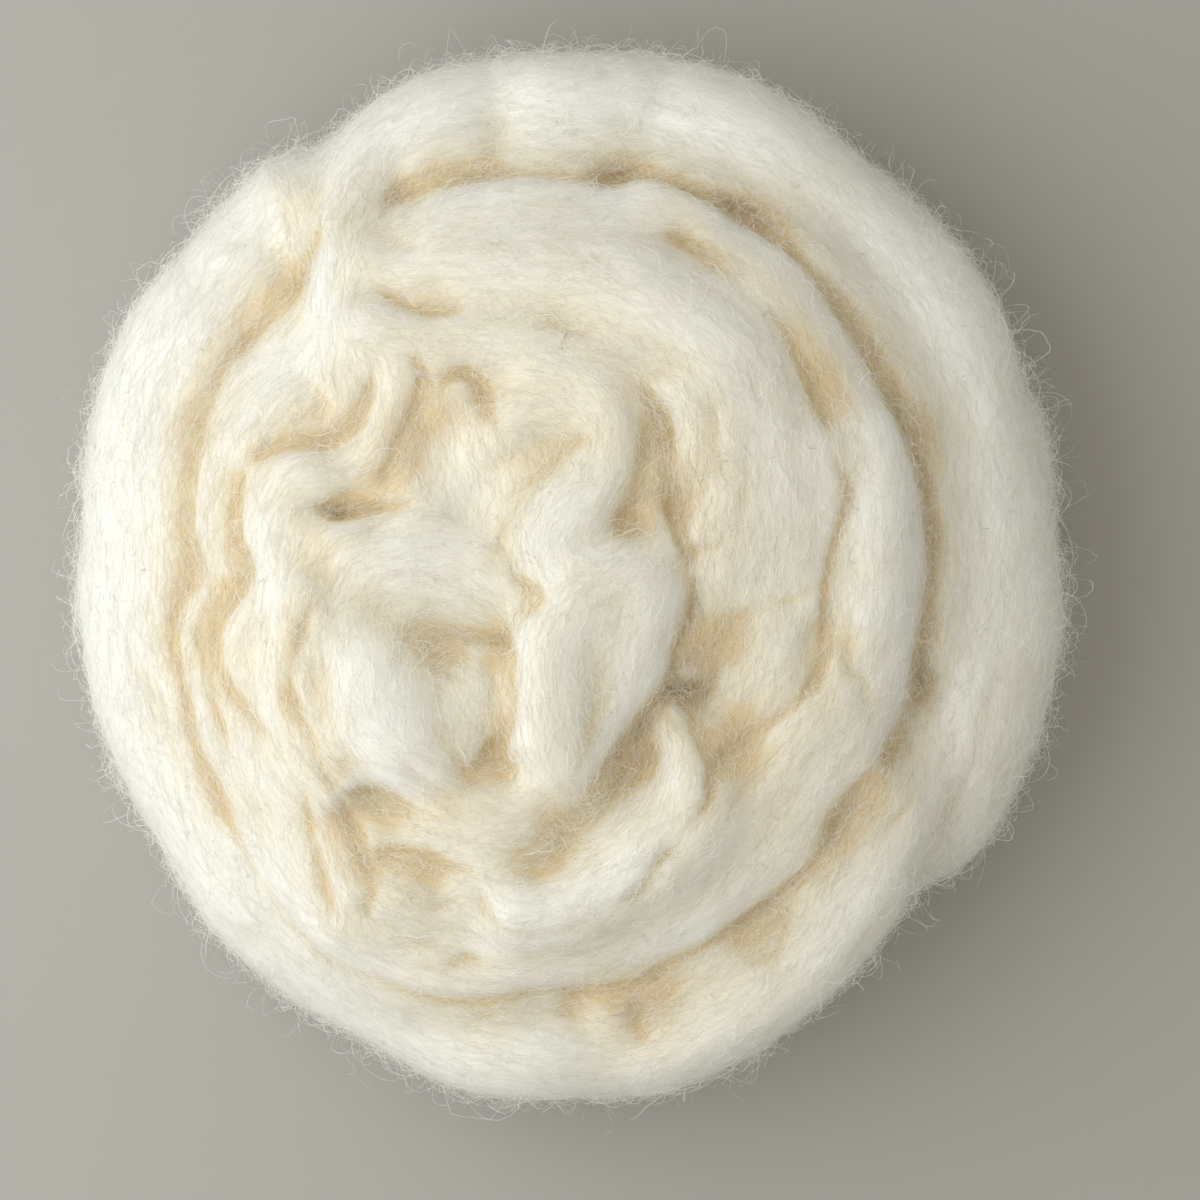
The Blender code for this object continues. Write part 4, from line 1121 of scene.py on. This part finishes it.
def fuzz_fibres(field, skin, mat):
    """Short curled fibres that lie every way close over the skin, and bridge the creases."""
    def crease(points):
        return np.minimum(field.crease_at(points), DEEPEST)

    def chance(middle, normal):
        return seen(middle, normal) * (1 + FUZZ_IN_CREASES * crease(middle))

    n = FUZZ.count
    at = np.linspace(0, 1, FUZZ.steps + 1)
    for name in FUZZ.names:
        starts = scatter(*skin, n, chance)
        lengths = rng.uniform(*FUZZ.length, n)
        tall = rng.gamma(*FUZZ_LIFT, n) * (1 + HIGHER_IN_CREASES * crease(starts))
        lift = tall[:, None] * np.sin(np.pi * at) + FUZZ_GAP
        stray = rng.normal(0, FUZZ_ANGLE, n)
        yield lay(field, mat, FUZZ, name, starts, lengths, stray, lift)


def stray_fibres(field, skin, mat):
    """Thin curled fibres that stand off the skin, most of them round the sides."""
    def chance(middle, normal):
        tuft = np.zeros(len(middle))
        for x, y, spread, share in TUFTS:
            away = (middle[:, 0] - x) ** 2 + (middle[:, 1] - y) ** 2
            tuft += share * np.exp(-away / spread**2)
        under, top, steep = STRAY_CHANCES
        side = np.where(normal[:, 2] < STRAY_UNDERSIDE, under, top + steep * (1 - np.abs(normal[:, 2])))
        return side * (1 + tuft)

    n = STRAY.count
    at = np.linspace(0, 1, STRAY.steps + 1)
    starts = scatter(*skin, n, chance)
    lengths = rng.uniform(*STRAY.length, n)
    lengths = lengths * some(LONG_STRAYS[0], n, LONG_STRAYS[1])
    tall = rng.gamma(*STRAY_LIFT, n)
    tall = (tall * some(HIGH_STRAYS[0], n, HIGH_STRAYS[1]))[:, None]
    loop = rng.random((n, 1)) < LOOPS
    rise = np.where(loop, np.sin(np.pi * at) ** LOOP_FULLNESS, at ** END_RISE)
    lift = np.clip(tall * rise + STRAY_GAP, 0, HIGHEST_STRAY)
    stray = rng.normal(0, STRAY_ANGLE, n)
    yield lay(field, mat, STRAY, STRAY.names[0], starts, lengths, stray, lift)


# ---- the studio

FLOOR_SIZE = 6
FLOOR_COLOUR = (0.40, 0.385, 0.36, 1)
# The lamps: name, place, size and power, in m and W
LAMPS = (("window", (-0.46, 0.0, 0.42), 1.0, 3.78), ("top", (-0.3, -0.1, 1.5), 1.6, 1.6))
LAMP_COLOUR = (0.955, 0.985, 1)
SKY = {"Color": (1, 0.965, 0.88, 1), "Strength": 0.58}
CAMERA_AIM = (6.2, -4.6)  # mm, the middle of the view
CAMERA_HEIGHT = 2.64  # m over the floor
VIEW_WIDTH = 0.240  # m across the view, at SILHOUETTE_HEIGHT
SILHOUETTE_HEIGHT = 0.04


def make_floor():
    """The plain floor, which is not part of the object."""
    bpy.ops.mesh.primitive_plane_add(size=FLOOR_SIZE)
    floor = bpy.context.object
    floor.name = "floor"
    floor.data.materials.append(material_of("floor", {"Base Color": FLOOR_COLOUR, "Roughness": 0.9})[0])


def make_lights():
    """Soft daylight from the left, and a warm sky."""
    scene = bpy.context.scene
    for name, place, size, power in LAMPS:
        data = bpy.data.lights.new(name, "AREA")
        data.shape = "DISK"
        data.size = size
        data.energy = power
        data.color = LAMP_COLOUR
        ob = bpy.data.objects.new(name, data)
        ob.location = place
        ob.rotation_mode = "QUATERNION"
        ob.rotation_quaternion = Vector(place).to_track_quat("Z", "Y")
        ob.visible_camera = False
        scene.collection.objects.link(ob)
    scene.view_settings.view_transform = "Standard"
    scene.world = bpy.data.worlds.new("studio")
    scene.world.use_nodes = True
    set_inputs(scene.world.node_tree.nodes["Background"], SKY)


def make_camera():
    """The camera, straight above."""
    data = bpy.data.cameras.new("camera")
    data.lens = data.sensor_width * (CAMERA_HEIGHT - SILHOUETTE_HEIGHT) / VIEW_WIDTH
    data.clip_start = 0.05
    ob = bpy.data.objects.new("camera", data)
    ob.location = (CAMERA_AIM[0] * MM, CAMERA_AIM[1] * MM, CAMERA_HEIGHT)
    bpy.context.scene.collection.objects.link(ob)
    bpy.context.scene.camera = ob


def main():
    """The whole scene, with every piece on the one body."""
    make_camera()
    make_floor()
    make_lights()
    field = Field(Samples())
    ob, *skin = make_skin(field)
    mat = loose_material()
    pieces = [ob, *combed_fibres(field, skin, mat), *fuzz_fibres(field, skin, mat)]
    pieces += stray_fibres(field, skin, mat)
    for piece in pieces:
        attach(piece, "root")
        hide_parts("wound_roving")


main()
